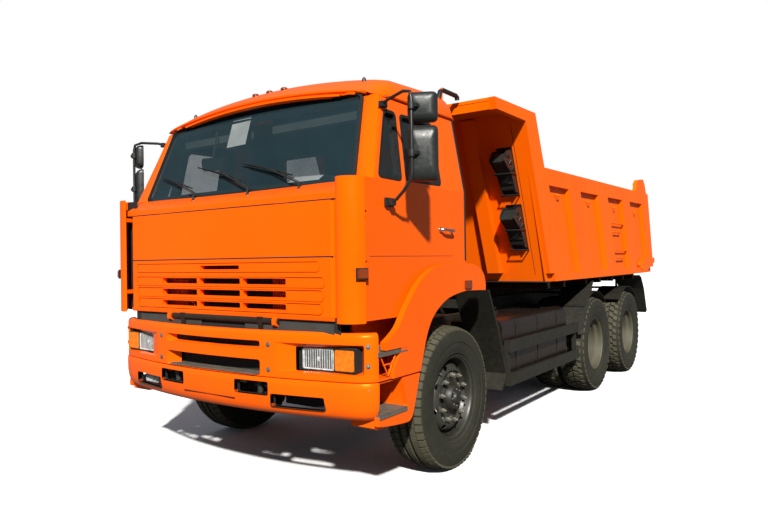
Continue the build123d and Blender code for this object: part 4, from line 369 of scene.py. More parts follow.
class Shape:
    """The faces of one piece, gathered from simple swept forms."""

    def __init__(self):
        self.points, self.faces = [], []

    def add(self, points, faces):
        """More points, with faces that count from the first of them."""
        start = len(self.points)
        self.points += [Vector(p) for p in points]
        self.faces += [[start + i for i in face] for face in faces]
        return self

    def skin(self, rings, close=False, first=True):
        """Rings of the same count joined one after another, and either closed round or capped.

        Without first, the first ring stays open.
        """
        n, count = len(rings[0]), len(rings)
        faces = []
        for i in range(count if close else count - 1):
            j = (i + 1) % count
            faces += [[i * n + k, i * n + (k + 1) % n, j * n + (k + 1) % n, j * n + k] for k in range(n)]
        if first and not close:
            faces.append(list(range(n))[::-1])
        if not close:
            faces.append(list(range((count - 1) * n, count * n)))
        return self.add([p for ring in rings for p in ring], faces)

    def prism(self, outline, shift):
        """A closed outline of points carried along a shift."""
        return self.skin([list(outline), [Vector(p) + Vector(shift) for p in outline]])

    def plate(self, x0, x1, outline):
        """An outline of (station, z) points carried from one X to another."""
        return self.prism([at(x0, station, z) for station, z in outline], LEFT * (x1 - x0))

    def block(self, low, high, turn=None, about=None):
        """A block between two corners, turned about a point if a turn is given."""
        (x0, y0, z0), (x1, y1, z1) = low, high
        outline = [Vector((x, y, z0)) for x, y in ((x0, y0), (x1, y0), (x1, y1), (x0, y1))]
        shift = UP * (z1 - z0)
        if turn is not None:
            pivot = Vector(about)
            outline = [pivot + turn @ (p - pivot) for p in outline]
            shift = turn @ shift
        return self.prism(outline, shift)

    def lathe(self, centre, axis, profile, n=48, close=False):
        """A profile of (along, radius) points turned about an axis."""
        axis = Vector(axis).normalized()
        side = axis.orthogonal().normalized()
        other = axis.cross(side)
        rings = [circle(Vector(centre) + axis * along, side, other, radius, n) for along, radius in profile]
        return self.skin(rings, close)

    def tube(self, points, radius, n=10):
        """A round bar along points, with mitred corners."""
        points = [Vector(p) for p in points]
        side = None
        rings = []
        for i, p in enumerate(points):
            after = points[i + 1] - p if i < len(points) - 1 else p - points[i - 1]
            before = p - points[i - 1] if i else after
            ahead = (before.normalized() + after.normalized()).normalized()
            side = ahead.orthogonal() if side is None else side - ahead * side.dot(ahead)
            side.normalize()
            rings.append(circle(p, side, ahead.cross(side), radius, n))
        return self.skin(rings)

    def bolt(self, seat, axis, radius, height, washer=True):
        """A domed bolt head on its washer."""
        profile = [(0, radius)]
        if washer:
            profile = [(0, radius * 1.7), (height * 0.25, radius * 1.7), (height * 0.3, radius * 1.1)]
        profile += [(height * 0.8, radius), (height, radius * 0.6)]
        return self.lathe(seat, axis, profile, n=12)

    def nut(self, seat, axis, radius, height):
        """A hexagon nut with the end of its stud."""
        self.lathe(seat, axis, [(0, radius), (height * 0.85, radius), (height, radius * 0.85)], n=6)
        stud = [(0, radius * 0.5), (height * 1.5, radius * 0.5), (height * 1.6, radius * 0.4)]
        return self.lathe(seat, axis, stud, n=10)

    def band(self, loop, normal, inside, outside, height, sink=0.0):
        """A flat closed band along a loop, from inside to outside of it, standing along the normal."""
        normal = Vector(normal).normalized()
        top, foot = normal * height, normal * sink
        n = len(loop)
        rings = []
        for i, p in enumerate(loop):
            a = (p - loop[i - 1]).normalized()
            b = (loop[(i + 1) % n] - p).normalized()
            out = (a + b).normalized().cross(normal)
            stretch = 1 / max(0.5, (a + b).length / 2)
            inner, outer = p - out * inside * stretch, p + out * outside * stretch
            rings.append([inner - foot, inner + top, outer + top, outer - foot])
        return self.skin(rings, close=True)

    def mirrored(self):
        """The same shape and its mirror image."""
        image = self.flipped()
        return self.add(image.points, image.faces)

    def flipped(self):
        """The mirror image alone."""
        points = [Vector((-p.x, p.y, p.z)) for p in self.points]
        return Shape().add(points, [face[::-1] for face in self.faces])

    def mesh(self, name):
        """A Blender mesh with its doubled points merged and its faces turned outwards."""
        mesh = bpy.data.meshes.new(name)
        mesh.from_pydata([tuple(p) for p in self.points], [], self.faces)
        bm = bmesh.new()
        bm.from_mesh(mesh)
        bmesh.ops.remove_doubles(bm, verts=bm.verts, dist=1e-6)
        bmesh.ops.recalc_face_normals(bm, faces=bm.faces)
        bm.to_mesh(mesh)
        bm.free()
        return mesh

    def make(self, name, body, finish, bevel=0.0, replaces=(), segments=2, cut=None):
        """The finished piece: cut, bevelled, shaded, painted and riding on its body."""
        mesh = self.mesh(name)
        if cut:
            mesh = carved(mesh, cut.mesh("cut"))
            mesh.name = name
        bm = bmesh.new()
        bm.from_mesh(mesh)
        if bevel:
            least = radians(BEVEL_FROM_DEG)
            edges = [e for e in bm.edges if len(e.link_faces) == 2 and e.calc_face_angle(0) > least]
            bmesh.ops.bevel(bm, geom=edges, offset=bevel, segments=segments, affect="EDGES",
                            clamp_overlap=True)
        bm.to_mesh(mesh)
        bm.free()
        mesh.shade_smooth()
        mesh.set_sharp_from_angle(angle=radians(SHARP_FROM_DEG))
        mesh.materials.append(MATERIALS[finish])
        piece = bpy.data.objects.new(name, mesh)
        bpy.context.scene.collection.objects.link(piece)
        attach(piece, body)
        if replaces:
            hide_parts(*replaces)
        return piece


def carved(mesh, cutter):
    """The mesh with the cutter's volume taken out of it."""
    whole, tool = items = [bpy.data.objects.new(m.name, m) for m in (mesh, cutter)]
    for item in items:
        bpy.context.scene.collection.objects.link(item)
    step = whole.modifiers.new("cut", "BOOLEAN")
    step.operation = "DIFFERENCE"
    step.solver = "EXACT"
    step.object = tool
    bpy.context.view_layer.update()
    result = bpy.data.meshes.new_from_object(whole.evaluated_get(bpy.context.evaluated_depsgraph_get()))
    for item in items:
        bpy.data.objects.remove(item)
    for old in (mesh, cutter):
        bpy.data.meshes.remove(old)
    return result


def smooth(points, per=6):
    """Points along a curve that passes through every given point."""
    points = [Vector(p) for p in points]
    line = []
    for i in range(len(points) - 1):
        a, b, c = points[max(i - 1, 0)], points[i], points[i + 1]
        d = points[min(i + 2, len(points) - 1)]
        for k in range(per):
            t = k / per
            bend = (2 * a - 5 * b + 4 * c - d) * t ** 2 + (3 * b - a - 3 * c + d) * t ** 3
            line.append(b + ((c - a) * t + bend) / 2)
    return line + [points[-1]]


def rounded(corners, radius, steps=5):
    """A closed loop through corners, each rounded by an arc."""
    corners = [Vector(c) for c in corners]
    radii = radius if isinstance(radius, (list, tuple)) else [radius] * len(corners)
    loop = []
    for i, corner in enumerate(corners):
        before, after = corners[i - 1], corners[(i + 1) % len(corners)]
        a, b = (before - corner).normalized(), (after - corner).normalized()
        reach = min(radii[i], (before - corner).length * 0.45, (after - corner).length * 0.45)
        for k in range(steps + 1):
            t = k / steps
            loop.append(corner + a * reach * (1 - t) ** 2 + b * reach * t ** 2)
    return loop


def flat_loop(x0, x1, z0, z1, radius):
    """A rounded rectangle as (x, 0, z) points, finely divided along its long sides."""
    loop = rounded([(x0, 0, z0), (x1, 0, z0), (x1, 0, z1), (x0, 0, z1)], radius, 4)
    fine = []
    for i, p in enumerate(loop):
        q = loop[(i + 1) % len(loop)]
        parts = max(1, int((q - p).length / 0.05))
        fine += [p + (q - p) * k / parts for k in range(parts)]
    return fine


def moved_back(loop, depth):
    """The same loop, further back."""
    return [p - FORWARD * depth for p in loop]


def shrunk(loop, share, forward):
    """The loop drawn in towards its middle and moved forward."""
    middle = sum(loop, Vector()) / len(loop)
    return [middle + (p - middle) * share + FORWARD * forward for p in loop]


# ---------------------------------------------------------------- tyres
TREAD_DEPTH = 0.016
SHOULDER_SHARE = 0.86  # blocks whose edge lies beyond this share of the half width drop at that edge
# a block's top and bottom have three pairs of corners each
BLOCK_FACES = ((0, 1, 3, 2), (2, 3, 5, 4), (6, 8, 9, 7), (8, 10, 11, 9), (0, 6, 7, 1), (4, 5, 11, 10),
               (0, 2, 8, 6), (2, 4, 10, 8), (1, 7, 9, 3), (3, 9, 11, 5))


def tyre_piece(name, body, planes, radius, width, rows, replaced):
    """Tyres with raised tread blocks; planes are their middles, each with the sign of its outer side."""
    shape, blocks = Shape(), Shape()
    half, floor = width / 2, radius - TREAD_DEPTH
    # one side wall as (along the axle, radius), from the tread in to the bead
    side = [
        (half - 0.036, floor), (half - 0.016, floor - 0.006), (half - 0.010, radius - 0.040),
        (half - 0.006, radius - 0.060), (half - 0.001, radius - 0.088), (half, radius - 0.112),
        (half - 0.001, radius - 0.118), (half - 0.0045, radius - 0.121), (half - 0.003, radius - 0.150),
        (half - 0.009, radius - 0.182), (half - 0.013, radius - 0.190), (half - 0.012, radius - 0.196),
        (half - 0.022, 0.316), (half - 0.026, 0.309), (half - 0.025, 0.301), (0.104, 0.300), (0.104, 0.2845),
    ]
    profile = [(-a, r) for a, r in reversed(side)] + [(0, floor + 0.001)] + side
    for centre, out in planes:
        axis = LEFT * out
        shape.lathe(centre, axis, profile, n=96, close=True)
        up = axis.orthogonal().normalized()
        other = axis.cross(up)
        # each block stands on three pairs of corners along its span, inner and outer edge in turn
        for inner, outer, count, gap, phase, skew, drop in rows:
            for k in range(count):
                start, span = tau * (k + phase) / count, tau / count * (1 - gap)
                top, bottom = [], []
                for share in (0, 0.5, 1):
                    for along, lean in ((inner, 0), (outer, skew)):
                        angle = start + span * share + lean
                        spoke = up * cos(angle) + other * sin(angle)
                        crown = 0.012 * (abs(along) / half) ** 2
                        fall = drop if abs(along) > half * SHOULDER_SHARE else 0
                        top.append(centre + axis * along + spoke * (radius - crown - fall))
                        bottom.append(centre + axis * along + spoke * (radius - 0.020 - fall - crown * 0.5))
                blocks.add(top + bottom, BLOCK_FACES)
    blocks.make(name.replace("tread_", "blocks_"), body, "tread")
    shape.make(name, body, "rubber", replaces=replaced)


FRONT_ROWS = (
    # inner edge, outer edge, blocks, gap share, phase, skew, shoulder drop
    (0.094, 0.139, 54, 0.22, 0.0, 0.0, 0.010),
    (0.048, 0.086, 54, 0.14, 0.3, 0.020, 0),
    (-0.020, 0.020, 54, 0.12, 0.6, -0.020, 0),
    (-0.086, -0.048, 54, 0.14, 0.1, 0.020, 0),
    (-0.139, -0.094, 54, 0.22, 0.5, 0.0, 0.010),
)
REAR_ROWS = (
    (0.066, 0.143, 40, 0.42, 0.0, 0.030, 0.016),
    (0.008, 0.060, 40, 0.34, 0.35, 0.045, 0),
    (-0.060, -0.008, 40, 0.34, 0.85, -0.045, 0),
    (-0.143, -0.066, 40, 0.42, 0.5, -0.030, 0.016),
)
for sign, side in SIDES:
    middle = at(sign * FRONT_TYRE_X, AXLES["front"], FRONT_TYRE_R)
    tyre_piece(f"tread_tyre_front_{side}", f"wheel_front_{side}", [(middle, sign)], FRONT_TYRE_R,
               FRONT_TYRE_WIDTH, FRONT_ROWS, (f"front_tyre_{side}",))
    for name in ("mid", "rear"):
        middles = [(at(sign * x, AXLES[name], REAR_TYRE_R), sign) for x in (REAR_OUTER_X, REAR_INNER_X)]
        tyre_piece(f"tread_tyres_{name}_{side}", f"wheel_{name}_{side}", middles, REAR_TYRE_R,
                   REAR_TYRE_WIDTH, REAR_ROWS, (f"{name}_tyres_{side}",))

# ---------------------------------------------------------------- screen and pillars
SCREEN_OUT = Vector((0, -0.580, 0.225)).normalized()  # square to the glass, outwards
SCREEN_FOOT_STATION, SCREEN_SLOPE, SCREEN_BOW = -1.034, 0.365, 0.024
SCREEN_TOP_Z, SCREEN_TOP_FALL, SCREEN_TOP_HALF = 2.662, 0.056, 0.954
SCREEN_LOW_Z, SCREEN_SIDE_TOP_Z = 2.032, 2.560
# the rounded corners: where they start at the foot and where they end under the top, and their sizes
LOW_CORNER_X, LOW_CORNER_WIDTH, LOW_CORNER_HEIGHT = 0.985, 0.053, 0.045
TOP_CORNER_X, TOP_CORNER_WIDTH = 0.966, 0.050
CORNER_SHARES = (0, 0.2, 0.4, 0.6, 0.8, 1.0)
SEAL_WIDTH, BORDER_WIDTH = 0.020, 0.030
REAR_PANE = (0.112, 0.628, 2.062, 2.468)  # X range and Z range of each rear window


def on_screen(x, z, lift=0.0):
    """A point on the bowed windscreen's outer face."""
    station = SCREEN_FOOT_STATION + (z - BELT_Z) * SCREEN_SLOPE + SCREEN_BOW * x ** 2
    return at(x, station, z) + SCREEN_OUT * lift


def screen_top(x):
    """Height of the glass's upper edge."""
    return SCREEN_TOP_Z - SCREEN_TOP_FALL * (x / SCREEN_TOP_HALF) ** 2


def screen_loop(grow=0.0):
    """The glass's outline as (x, z), larger by grow all round."""
    foot = SCREEN_LOW_Z - grow
    rise = screen_top(0.92) + grow - SCREEN_SIDE_TOP_Z
    quarter = [t * pi / 2 for t in CORNER_SHARES]
    side = [(LOW_CORNER_X + (LOW_CORNER_WIDTH + grow) * sin(a), foot + LOW_CORNER_HEIGHT * (1 - cos(a)))
            for a in quarter]
    side += [(TOP_CORNER_X + grow - TOP_CORNER_WIDTH * (1 - cos(a)), SCREEN_SIDE_TOP_Z + rise * sin(a))
             for a in quarter]
    corners = [(x / 10, foot) for x in range(-9, 10)] + side
    corners += [(x / 10, screen_top(x / 10) + grow) for x in range(9, -10, -1)]
    return corners + [(-x, z) for x, z in reversed(side[1:])]


def screen_ring(shape, *rings):
    """A closed band round the glass, through rings of (outline, lift) and back to the first."""
    return shape.skin([[on_screen(x, z, lift) for x, z in outline] for outline, lift in rings], close=True)


edge, seal_edge, border_edge = screen_loop(), screen_loop(SEAL_WIDTH), screen_loop(-BORDER_WIDTH)
pane = Shape()
middle_z, depth = 2.33, 0.008
pane.skin([[on_screen(x * share, (z - middle_z) * share + middle_z, -depth) for x, z in edge]
           for share in (1, 0.6, 0.2)], first=False)
for sign, _ in SIDES:
    x0, x1 = pair(sign, *REAR_PANE[:2])
    pane.block(at(x0, 0.124, REAR_PANE[2]), at(x1, 0.130, REAR_PANE[3]))
pane.make("screen_and_rear_panes", "cab", "glass", replaces=("cab_glass",))
seal = Shape()
screen_ring(seal, (edge, -0.004), (screen_loop(0.004), 0.010), (seal_edge, 0.008), (seal_edge, -0.030),
            (edge, -0.030))
seal.make("screen_seal", "cab", "seal")
# a dark band behind the glass's edge, on the pillars' inner faces and on the header
border = Shape()
screen_ring(border, (edge, -0.012), (border_edge, -0.012), (border_edge, -0.016), (edge, -0.016))
for sign, _ in SIDES:
    levels = []
    for z, x, front in ((BELT_Z, 1.028, -0.990), (2.600, 0.946, -0.785)):
        corners = ((x - 0.012, front), (x, front), (x, front + 0.120), (x - 0.012, front + 0.120))
        levels.append([at(sign * a, b, z) for a, b in corners])
    border.skin(levels)
border.block(at(-0.945, -0.802, 2.562), at(0.945, -0.793, 2.605))
border.make("screen_border", "cab", "seal")

# sections of the left pillar as (x, station), at the belt and under the roof
PILLAR_LOW = ((1.030, -0.992), (1.075, -1.006), (1.125, -1.010), (1.192, -1.002), (1.146, -0.985),
              (1.146, -0.950), (1.030, -0.950))
PILLAR_HIGH = ((0.948, -0.785), (0.992, -0.797), (1.030, -0.795), (1.086, -0.772), (1.041, -0.757),
               (1.041, -0.720), (0.948, -0.720))
wall = Shape()
for sign, _ in SIDES:
    wall.skin([[at(sign * x, station, z) for x, station in section]
               for section, z in ((PILLAR_LOW, BELT_Z), (PILLAR_HIGH, 2.606))])
    x0, x1 = pair(sign, 0.430, 1.090)
    wall.block(at(x0, -1.100, 1.205), at(x1, -1.060, 1.910))
    # the doors' hinges
    for z in (1.505, 1.805):
        x0, x1 = pair(sign, 1.085, 1.184)
        wall.block(at(x0, -1.106, z - 0.015), at(x1, -1.094, z + 0.015))
        wall.lathe(at(sign * 1.190, -1.100, z - 0.015), UP, [(0, 0.010), (0.030, 0.010)], n=24)
wall.block(at(-0.430, -1.100, 1.560), at(0.430, -1.060, 1.910))
cowl = ((-1.170, 1.905), (-1.060, 1.905), (-0.950, 2.020), (-0.950, 2.028), (-1.030, 2.028), (-1.170, 1.942))
wall.plate(-1.090, 1.090, cowl)
header = ((-0.790, 2.600), (-0.720, 2.600), (-0.720, 2.570), (-0.775, 2.570))
wall.plate(-0.960, 0.960, header)
wall.make("cab_front_frame", "cab", "cab", bevel=0.003, replaces=("cab_front",))

# ---------------------------------------------------------------- roof
ROOF_ROWS = (
    # station at the middle, bow back at the sides, half width, shoulder's X and Z, crown's Z, foot's Z
    (-0.838, 0.030, 1.030, 0.900, 2.632, 2.684, 2.612),
    (-0.856, 0.032, 1.034, 0.900, 2.642, 2.696, 2.612),
    (-0.858, 0.036, 1.036, 0.900, 2.652, 2.708, 2.612),
    (-0.842, 0.040, 1.040, 0.902, 2.664, 2.722, 2.612),
    (-0.790, 0.040, 1.055, 0.910, 2.690, 2.752, 2.611),
    (-0.725, 0.030, 1.078, 0.925, 2.722, 2.790, 2.610),
    (-0.640, 0.015, 1.092, 0.940, 2.755, 2.826, 2.610),
    (-0.520, 0.000, 1.097, 0.945, 2.774, 2.843, 2.610),
    (-0.060, 0.000, 1.097, 0.950, 2.795, 2.868, 2.610),
    (0.150, 0.000, 1.097, 0.950, 2.790, 2.864, 2.610),
    (0.182, 0.000, 1.090, 0.944, 2.780, 2.854, 2.611),
    (0.190, 0.000, 1.080, 0.934, 2.762, 2.840, 2.612),
)
SHOULDER_SHARES = [k / 12 for k in range(13)]
BEND_SHARES = [k / 10 for k in range(1, 11)]
ROOF_THICKNESS_SHARE = 0.030


def roof_row(station, bow, half, shoulder_x, shoulder_z, crown_z, foot_z, inset=0.0):
    """Points across the roof, from its right foot over the crown to its left foot."""
    fall = crown_z - shoulder_z
    left = [(shoulder_x * k, crown_z - fall * k ** 2) for k in SHOULDER_SHARES]
    bend = (half - 0.012, shoulder_z - 2 * fall / shoulder_x * (half - shoulder_x))
    for t in BEND_SHARES:
        left.append(tuple((1 - t) ** 2 * a + 2 * t * (1 - t) * b + t * t * c
                          for a, b, c in zip((shoulder_x, shoulder_z), bend, (half, foot_z))))
    row = [(-x, z) for x, z in reversed(left[1:])] + left
    return [at(x * (1 - inset), station + bow * (x / shoulder_x) ** 2,
               z - inset * 0.9 if z > foot_z + 0.03 else z) for x, z in row]


def roof_skin():
    """The outer and the inner face, joined at the front, at the rear and along both feet."""
    outer = [roof_row(*row) for row in ROOF_ROWS]
    inner = [roof_row(*row, inset=ROOF_THICKNESS_SHARE) for row in ROOF_ROWS]
    grid = outer + inner[::-1]
    n, rows = len(outer[0]), len(grid)
    faces = []
    for i in range(rows):
        j = (i + 1) % rows
        faces += [[i * n + k, i * n + k + 1, j * n + k + 1, j * n + k] for k in range(n - 1)]
    for i in range(len(outer) - 1):
        b = rows - 1 - i
        faces += [[i * n + k, (i + 1) * n + k, (b - 1) * n + k, b * n + k] for k in (0, n - 1)]
    skin = Shape().add([p for row in grid for p in row], faces)
    skin.make("roof_skin", "cab", "cab", replaces=("cab_roof",))
    Shape().prism(outer[-1], FORWARD * 0.020).make("roof_rear_wall", "cab", "cab")


roof_skin()
lining = Shape()
lining.block(at(-1.030, -0.770, 2.588), at(1.030, 0.120, 2.600))
for x0, x1, z0, z1 in ((-1.10, -0.645, 1.66, 2.588), (0.645, 1.10, 1.66, 2.588),
                       (-0.645, 0.645, 2.485, 2.588), (-0.645, 0.645, 1.66, 2.045),
                       (-0.095, 0.095, 2.045, 2.485)):
    lining.block(at(x0, 0.088, z0), at(x1, 0.104, z1))
lining.make("cab_linings", "cab", "lining", bevel=0.003)

# ---------------------------------------------------------------- windows in the doors
WINDOW_HEAD_Z, WALL_LEAN = 2.605, 0.105  # the wall leans in by this from the belt to its head


def on_wall(station, z, sign=1, out=0.0):
    """A point on the cab's side wall, which leans in above the belt."""
    above = max(0.0, z - BELT_Z)
    return at(sign * (CAB_HALF - above * WALL_LEAN / (WINDOW_HEAD_Z - BELT_Z) + out), station, z)


WINDOWS = (
    ((-0.955, 2.048), (-0.700, 2.048), (-0.645, 2.495), (-0.772, 2.495)),
    ((-0.640, 2.052), (-0.195, 2.060), (-0.180, 2.500), (-0.588, 2.495)),
)
DOOR_CARD = ((-1.060, 1.300), (-0.250, 1.520), (-0.075, 1.530), (-0.075, 2.020), (-1.060, 2.020))
WINDOW_LININGS = (
    ((-1.000, 2.020), (-0.958, 2.020), (-0.772, 2.500), (-0.800, 2.500)),
    ((-0.698, 2.020), (-0.642, 2.020), (-0.590, 2.500), (-0.643, 2.500)),
    ((-0.192, 2.020), (-0.075, 2.020), (-0.075, 2.500), (-0.178, 2.500)),
    ((-0.800, 2.500), (-0.075, 2.500), (-0.075, 2.560), (-0.770, 2.560)),
)
WINDOW_SEAL_HALF, LINING_THICKNESS, LINING_DEPTH = 0.012, 0.006, 0.058
for sign, side in SIDES:
    seals = Shape()
    wall_out = Vector((sign * 0.984, 0, 0.180))
    for window in WINDOWS:
        loop = rounded([on_wall(station, z, sign) for station, z in window], 0.040, 5)
        if sign > 0:
            loop.reverse()
        middle = sum(loop, Vector()) / len(loop)
        wide, thin = ([middle + (p - middle) * (1 + grow / (p - middle).length) for p in loop]
                      for grow in (WINDOW_SEAL_HALF, -WINDOW_SEAL_HALF))
        rings = ((thin, 0.003), (loop, 0.005), (wide, 0.004), (wide, -0.004), (thin, -0.046))
        seals.skin([[p + wall_out * lift for p in ring] for ring, lift in rings], close=True)
    seals.make(f"door_seals_{side}", f"door_{side}", "seal")
    inner = Shape()
    thickness = LEFT * sign * LINING_THICKNESS
    inner.prism([at(sign * 1.140, station, z) for station, z in DOOR_CARD], thickness)
    for corners in WINDOW_LININGS:
        inner.prism([on_wall(station, z, sign, -LINING_DEPTH) for station, z in corners], thickness)
    inner.make(f"door_trim_{side}", f"door_{side}", "lining", bevel=0.002)

# ---------------------------------------------------------------- grille and front panel
def face_loop(x0, x1, z0, z1, radius):
    """A rounded rectangle on the front panels' face."""
    return rounded([at(x, PANEL_Y, z) for x, z in ((x0, z0), (x1, z0), (x1, z1), (x0, z1))], radius, 4)


beads = Shape()
for z0, z1, reach in ((1.372, 1.438, 0.945), (1.290, 1.358, 0.935), (1.211, 1.276, 0.925)):
    beads.band(face_loop(-reach, reach, z0, z1, 0.020), FORWARD, 0.006, 0.006, 0.007, 0.001)
beads.band(face_loop(-0.945, 0.905, 1.470, 1.533, 0.018), FORWARD, 0.005, 0.005, 0.006, 0.001)
beads.make("grille_beads", "front_flap", "cab", bevel=0.0025)
rims = Shape()
for z0, z1 in ((1.385, 1.425), (1.303, 1.345), (1.224, 1.262)):
    for x0, x1 in ((-0.630, -0.233), (-0.209, 0.209), (0.233, 0.630)):
        rims.band(face_loop(x0, x1, z0, z1, 0.010), FORWARD, 0.0005, 0.007, 0.003, 0.030)
rims.band(face_loop(-0.200, 0.200, 1.485, 1.512, 0.008), FORWARD, 0.0005, 0.006, 0.002, 0.030)
rims.make("grille_slot_edges", "front_flap", "cab", bevel=0.001)
seams = Shape()
seams.block(at(-PANEL_HALF, -1.1812, 1.5545), at(PANEL_HALF, -1.1790, 1.5625))
seams.block(at(-PANEL_HALF, -1.1800, 1.8990), at(PANEL_HALF, -1.1500, 1.9060))
seams.make("panel_seams", "front_flap", "dark")
# near-black sheets in the channels between the front panel and the corner deflectors: painted shade
deflector_shade_sheets = Shape()
for sign, _ in SIDES:
    plan = ((1.030, -1.128), (1.172, -1.112), (1.172, -1.106), (1.030, -1.118))
    deflector_shade_sheets.prism([at(sign * x, station, 1.170) for x, station in plan], UP * 0.855)
deflector_shade_sheets.make("deflector_painted_shade", "cab", "dark")
wires = Shape()
WIRE_PITCH, WIRE_R = 0.02, 0.0018
for k in range(62):
    x = -0.62 + k * WIRE_PITCH
    wires.tube([at(x, -1.128, 1.215), at(x, -1.128, 1.435)], WIRE_R, 5)
for k in range(12):
    z = 1.218 + k * 0.0195
    wires.tube([at(-0.635, -1.126, z), at(0.635, -1.126, z)], WIRE_R, 5)
wires.make("grille_wires", "front_flap", "dark")

# ---------------------------------------------------------------- bumper
BUMPER_PLAN = ((0, -1.290), (0.27, -1.282), (0.54, -1.257), (0.77, -1.220), (1.00, -1.172), (1.10, -1.147),
               (1.165, -1.120), (1.205, -1.092), (1.232, -1.064), (1.242, -1.042))
HALF_PLAN = smooth([(x, station, 0) for x, station in BUMPER_PLAN], 5)
PLAN = HALF_PLAN[::-1] + [Vector((-p.x, p.y, 0)) for p in HALF_PLAN[1:]]


def bumper_face(x):
    """Station of the bumper's front face."""
    x = abs(x)
    for a, b in zip(HALF_PLAN, HALF_PLAN[1:]):
        if a.x <= x <= b.x:
            return a.y + (b.y - a.y) * (x - a.x) / (b.x - a.x)
    return HALF_PLAN[-1].y


def swept(shape, path, section):
    """A closed section of (inset, z) points swept along a path whose points hold x and station."""
    last = len(path) - 1
    rings = []
    for i, p in enumerate(path):
        t = (path[min(i + 1, last)] - path[max(i - 1, 0)]).normalized()
        inward = Vector((t.y, -t.x, 0))
        rings.append([at(p.x + inward.x * d, p.y + inward.y * d, z) for d, z in section])
    return shape.skin(rings)


# the skins' sections: how far each point lies behind the face's plan, and its Z
UPPER_BUMPER = (
    (0.055, 1.090), (0.034, 1.101), (0.016, 1.099), (0.005, 1.090), (0.000, 1.074), (0.000, 1.000),
    (0.000, 0.900), (0.000, 0.812), (0.004, 0.8075), (0.030, 0.8075), (0.030, 0.900), (0.030, 1.000),
    (0.032, 1.070), (0.055, 1.078),
)
LOWER_BUMPER = (
    (0.030, 0.8035), (0.000, 0.8035), (-0.005, 0.797), (-0.006, 0.760), (-0.004, 0.690), (0.004, 0.640),
    (0.016, 0.606), (0.036, 0.582), (0.060, 0.572), (0.080, 0.572), (0.080, 0.586), (0.058, 0.592),
    (0.040, 0.612), (0.028, 0.650), (0.024, 0.700), (0.026, 0.797),
)
# each pocket's X range and Z range, at the face and at its back
LAMP_POCKET = ((0.600, 1.185, 0.852, 1.030), (0.724, 1.134, 0.858, 1.006))
SLOT_POCKET = ((-0.475, 0.475, 0.978, 1.034), (-0.400, 0.440, 0.990, 1.026))
STEP_POCKET = ((-0.475, 0.475, 0.812, 0.914), (-0.385, 0.450, 0.816, 0.906))
CUT_STATIONS = (-1.45, -1.05)  # from ahead of the bumper to behind its skin
upper, lower, holes, low_holes = Shape(), Shape(), Shape(), Shape()
swept(upper, PLAN, UPPER_BUMPER)
swept(lower, PLAN, LOWER_BUMPER)
pockets, low_pockets = Shape(), Shape()


def pocket(front, back, depth, sign=1, radius=0.014):
    """A sloping wall from the bumper's face back to a smaller opening, and the cut it needs."""
    mouth = flat_loop(*front, radius)
    fx0, fx1, fz0, fz1 = front
    bx0, bx1, bz0, bz1 = back
    throat = []
    for p in mouth:
        u, v = (p.x - fx0) / (fx1 - fx0), (p.z - fz0) / (fz1 - fz0)
        throat.append(Vector((bx0 + (bx1 - bx0) * u, 0, bz0 + (bz1 - bz0) * v)))
    middle = Vector(((fx0 + fx1) / 2, 0, (fz0 + fz1) / 2))
    rings = []
    for loop, behind, grow in ((mouth, 0.001, 0), (throat, depth, 0), (throat, depth + 0.003, 0.004),
                               (mouth, 0.006, 0.004)):
        grown = [q + (q - middle).normalized() * grow for q in loop]
        rings.append([at(sign * q.x, bumper_face(p.x) + behind, q.z) for p, q in zip(mouth, grown)])
    pockets.skin(rings, close=True)
    holes.skin([[at(sign * p.x, station, p.z) for p in mouth] for station in CUT_STATIONS])


pocket(*LAMP_POCKET, 0.050)
pocket(*LAMP_POCKET, 0.050, sign=-1)
pocket(*SLOT_POCKET, 0.034, radius=0.020)
pocket(*STEP_POCKET, 0.060, radius=0.020)
for sign, _ in SIDES:
    for x0, x1, z0, z1 in ((0.258, 0.540, 0.690, 0.778), (0.556, 0.940, 0.628, 0.708)):
        loop = [Vector((sign * p.x, p.y, p.z)) for p in flat_loop(x0, x1, z0, z1, 0.014)]
        low_holes.skin([[at(p.x, station, p.z) for p in loop] for station in CUT_STATIONS])
        centre = sum(loop, Vector()) / len(loop)
        rings = []
        for grow, behind in ((0, -0.004), (0, 0.045), (1, 0.045), (1, 0.004)):
            rings.append([at(p.x + (p.x - centre.x) * 0.03 * grow, bumper_face(p.x) + behind,
                             p.z + (p.z - centre.z) * 0.06 * grow) for p in loop])
        low_pockets.skin(rings, close=True)
upper.make("bumper_upper", "chassis", "cab", replaces=("bumper",), cut=holes)
lower.make("bumper_lower", "chassis", "cab", cut=low_holes)
pockets.make("bumper_pockets", "chassis", "cab")
# the lower openings' walls take the near-black finish: painted shade inside them
low_pockets.make("bumper_low_pocket_shade", "chassis", "dark")
# near-black plates behind the bumper's openings: painted shade
back = Shape()
for x0, x1, z0, z1, station in ((-0.46, 0.46, 0.808, 0.918, -1.185), (-0.46, 0.46, 0.975, 1.040, -1.225)):
    back.block(at(x0, station, z0), at(x1, station + 0.006, z1))
for sign, _ in SIDES:
    for x0, x1, z0, z1, station in ((0.245, 0.555, 0.680, 0.790, -1.165),
                                    (0.545, 0.955, 0.618, 0.718, -1.105)):
        low_x, high_x = pair(sign, x0, x1)
        back.block(at(low_x, station, z0), at(high_x, station + 0.006, z1))
back.make("bumper_opening_shade", "chassis", "dark")
bolts = Shape()
for sign, _ in SIDES:
    for x, z in ((0.541, 1.012), (0.541, 0.855)):
        bolts.bolt(at(sign * x, bumper_face(x) - 0.0005, z), FORWARD, 0.010, 0.009)
    for station, z in ((-1.094, 1.020), (-1.094, 0.905), (-1.090, 0.760)):
        normal = Vector((sign * 0.80, -0.60, 0))
        bolts.bolt(at(sign * 1.2045, station + 0.002, z), normal, 0.010, 0.009)
bolts.make("bumper_bolts", "chassis", "steel")

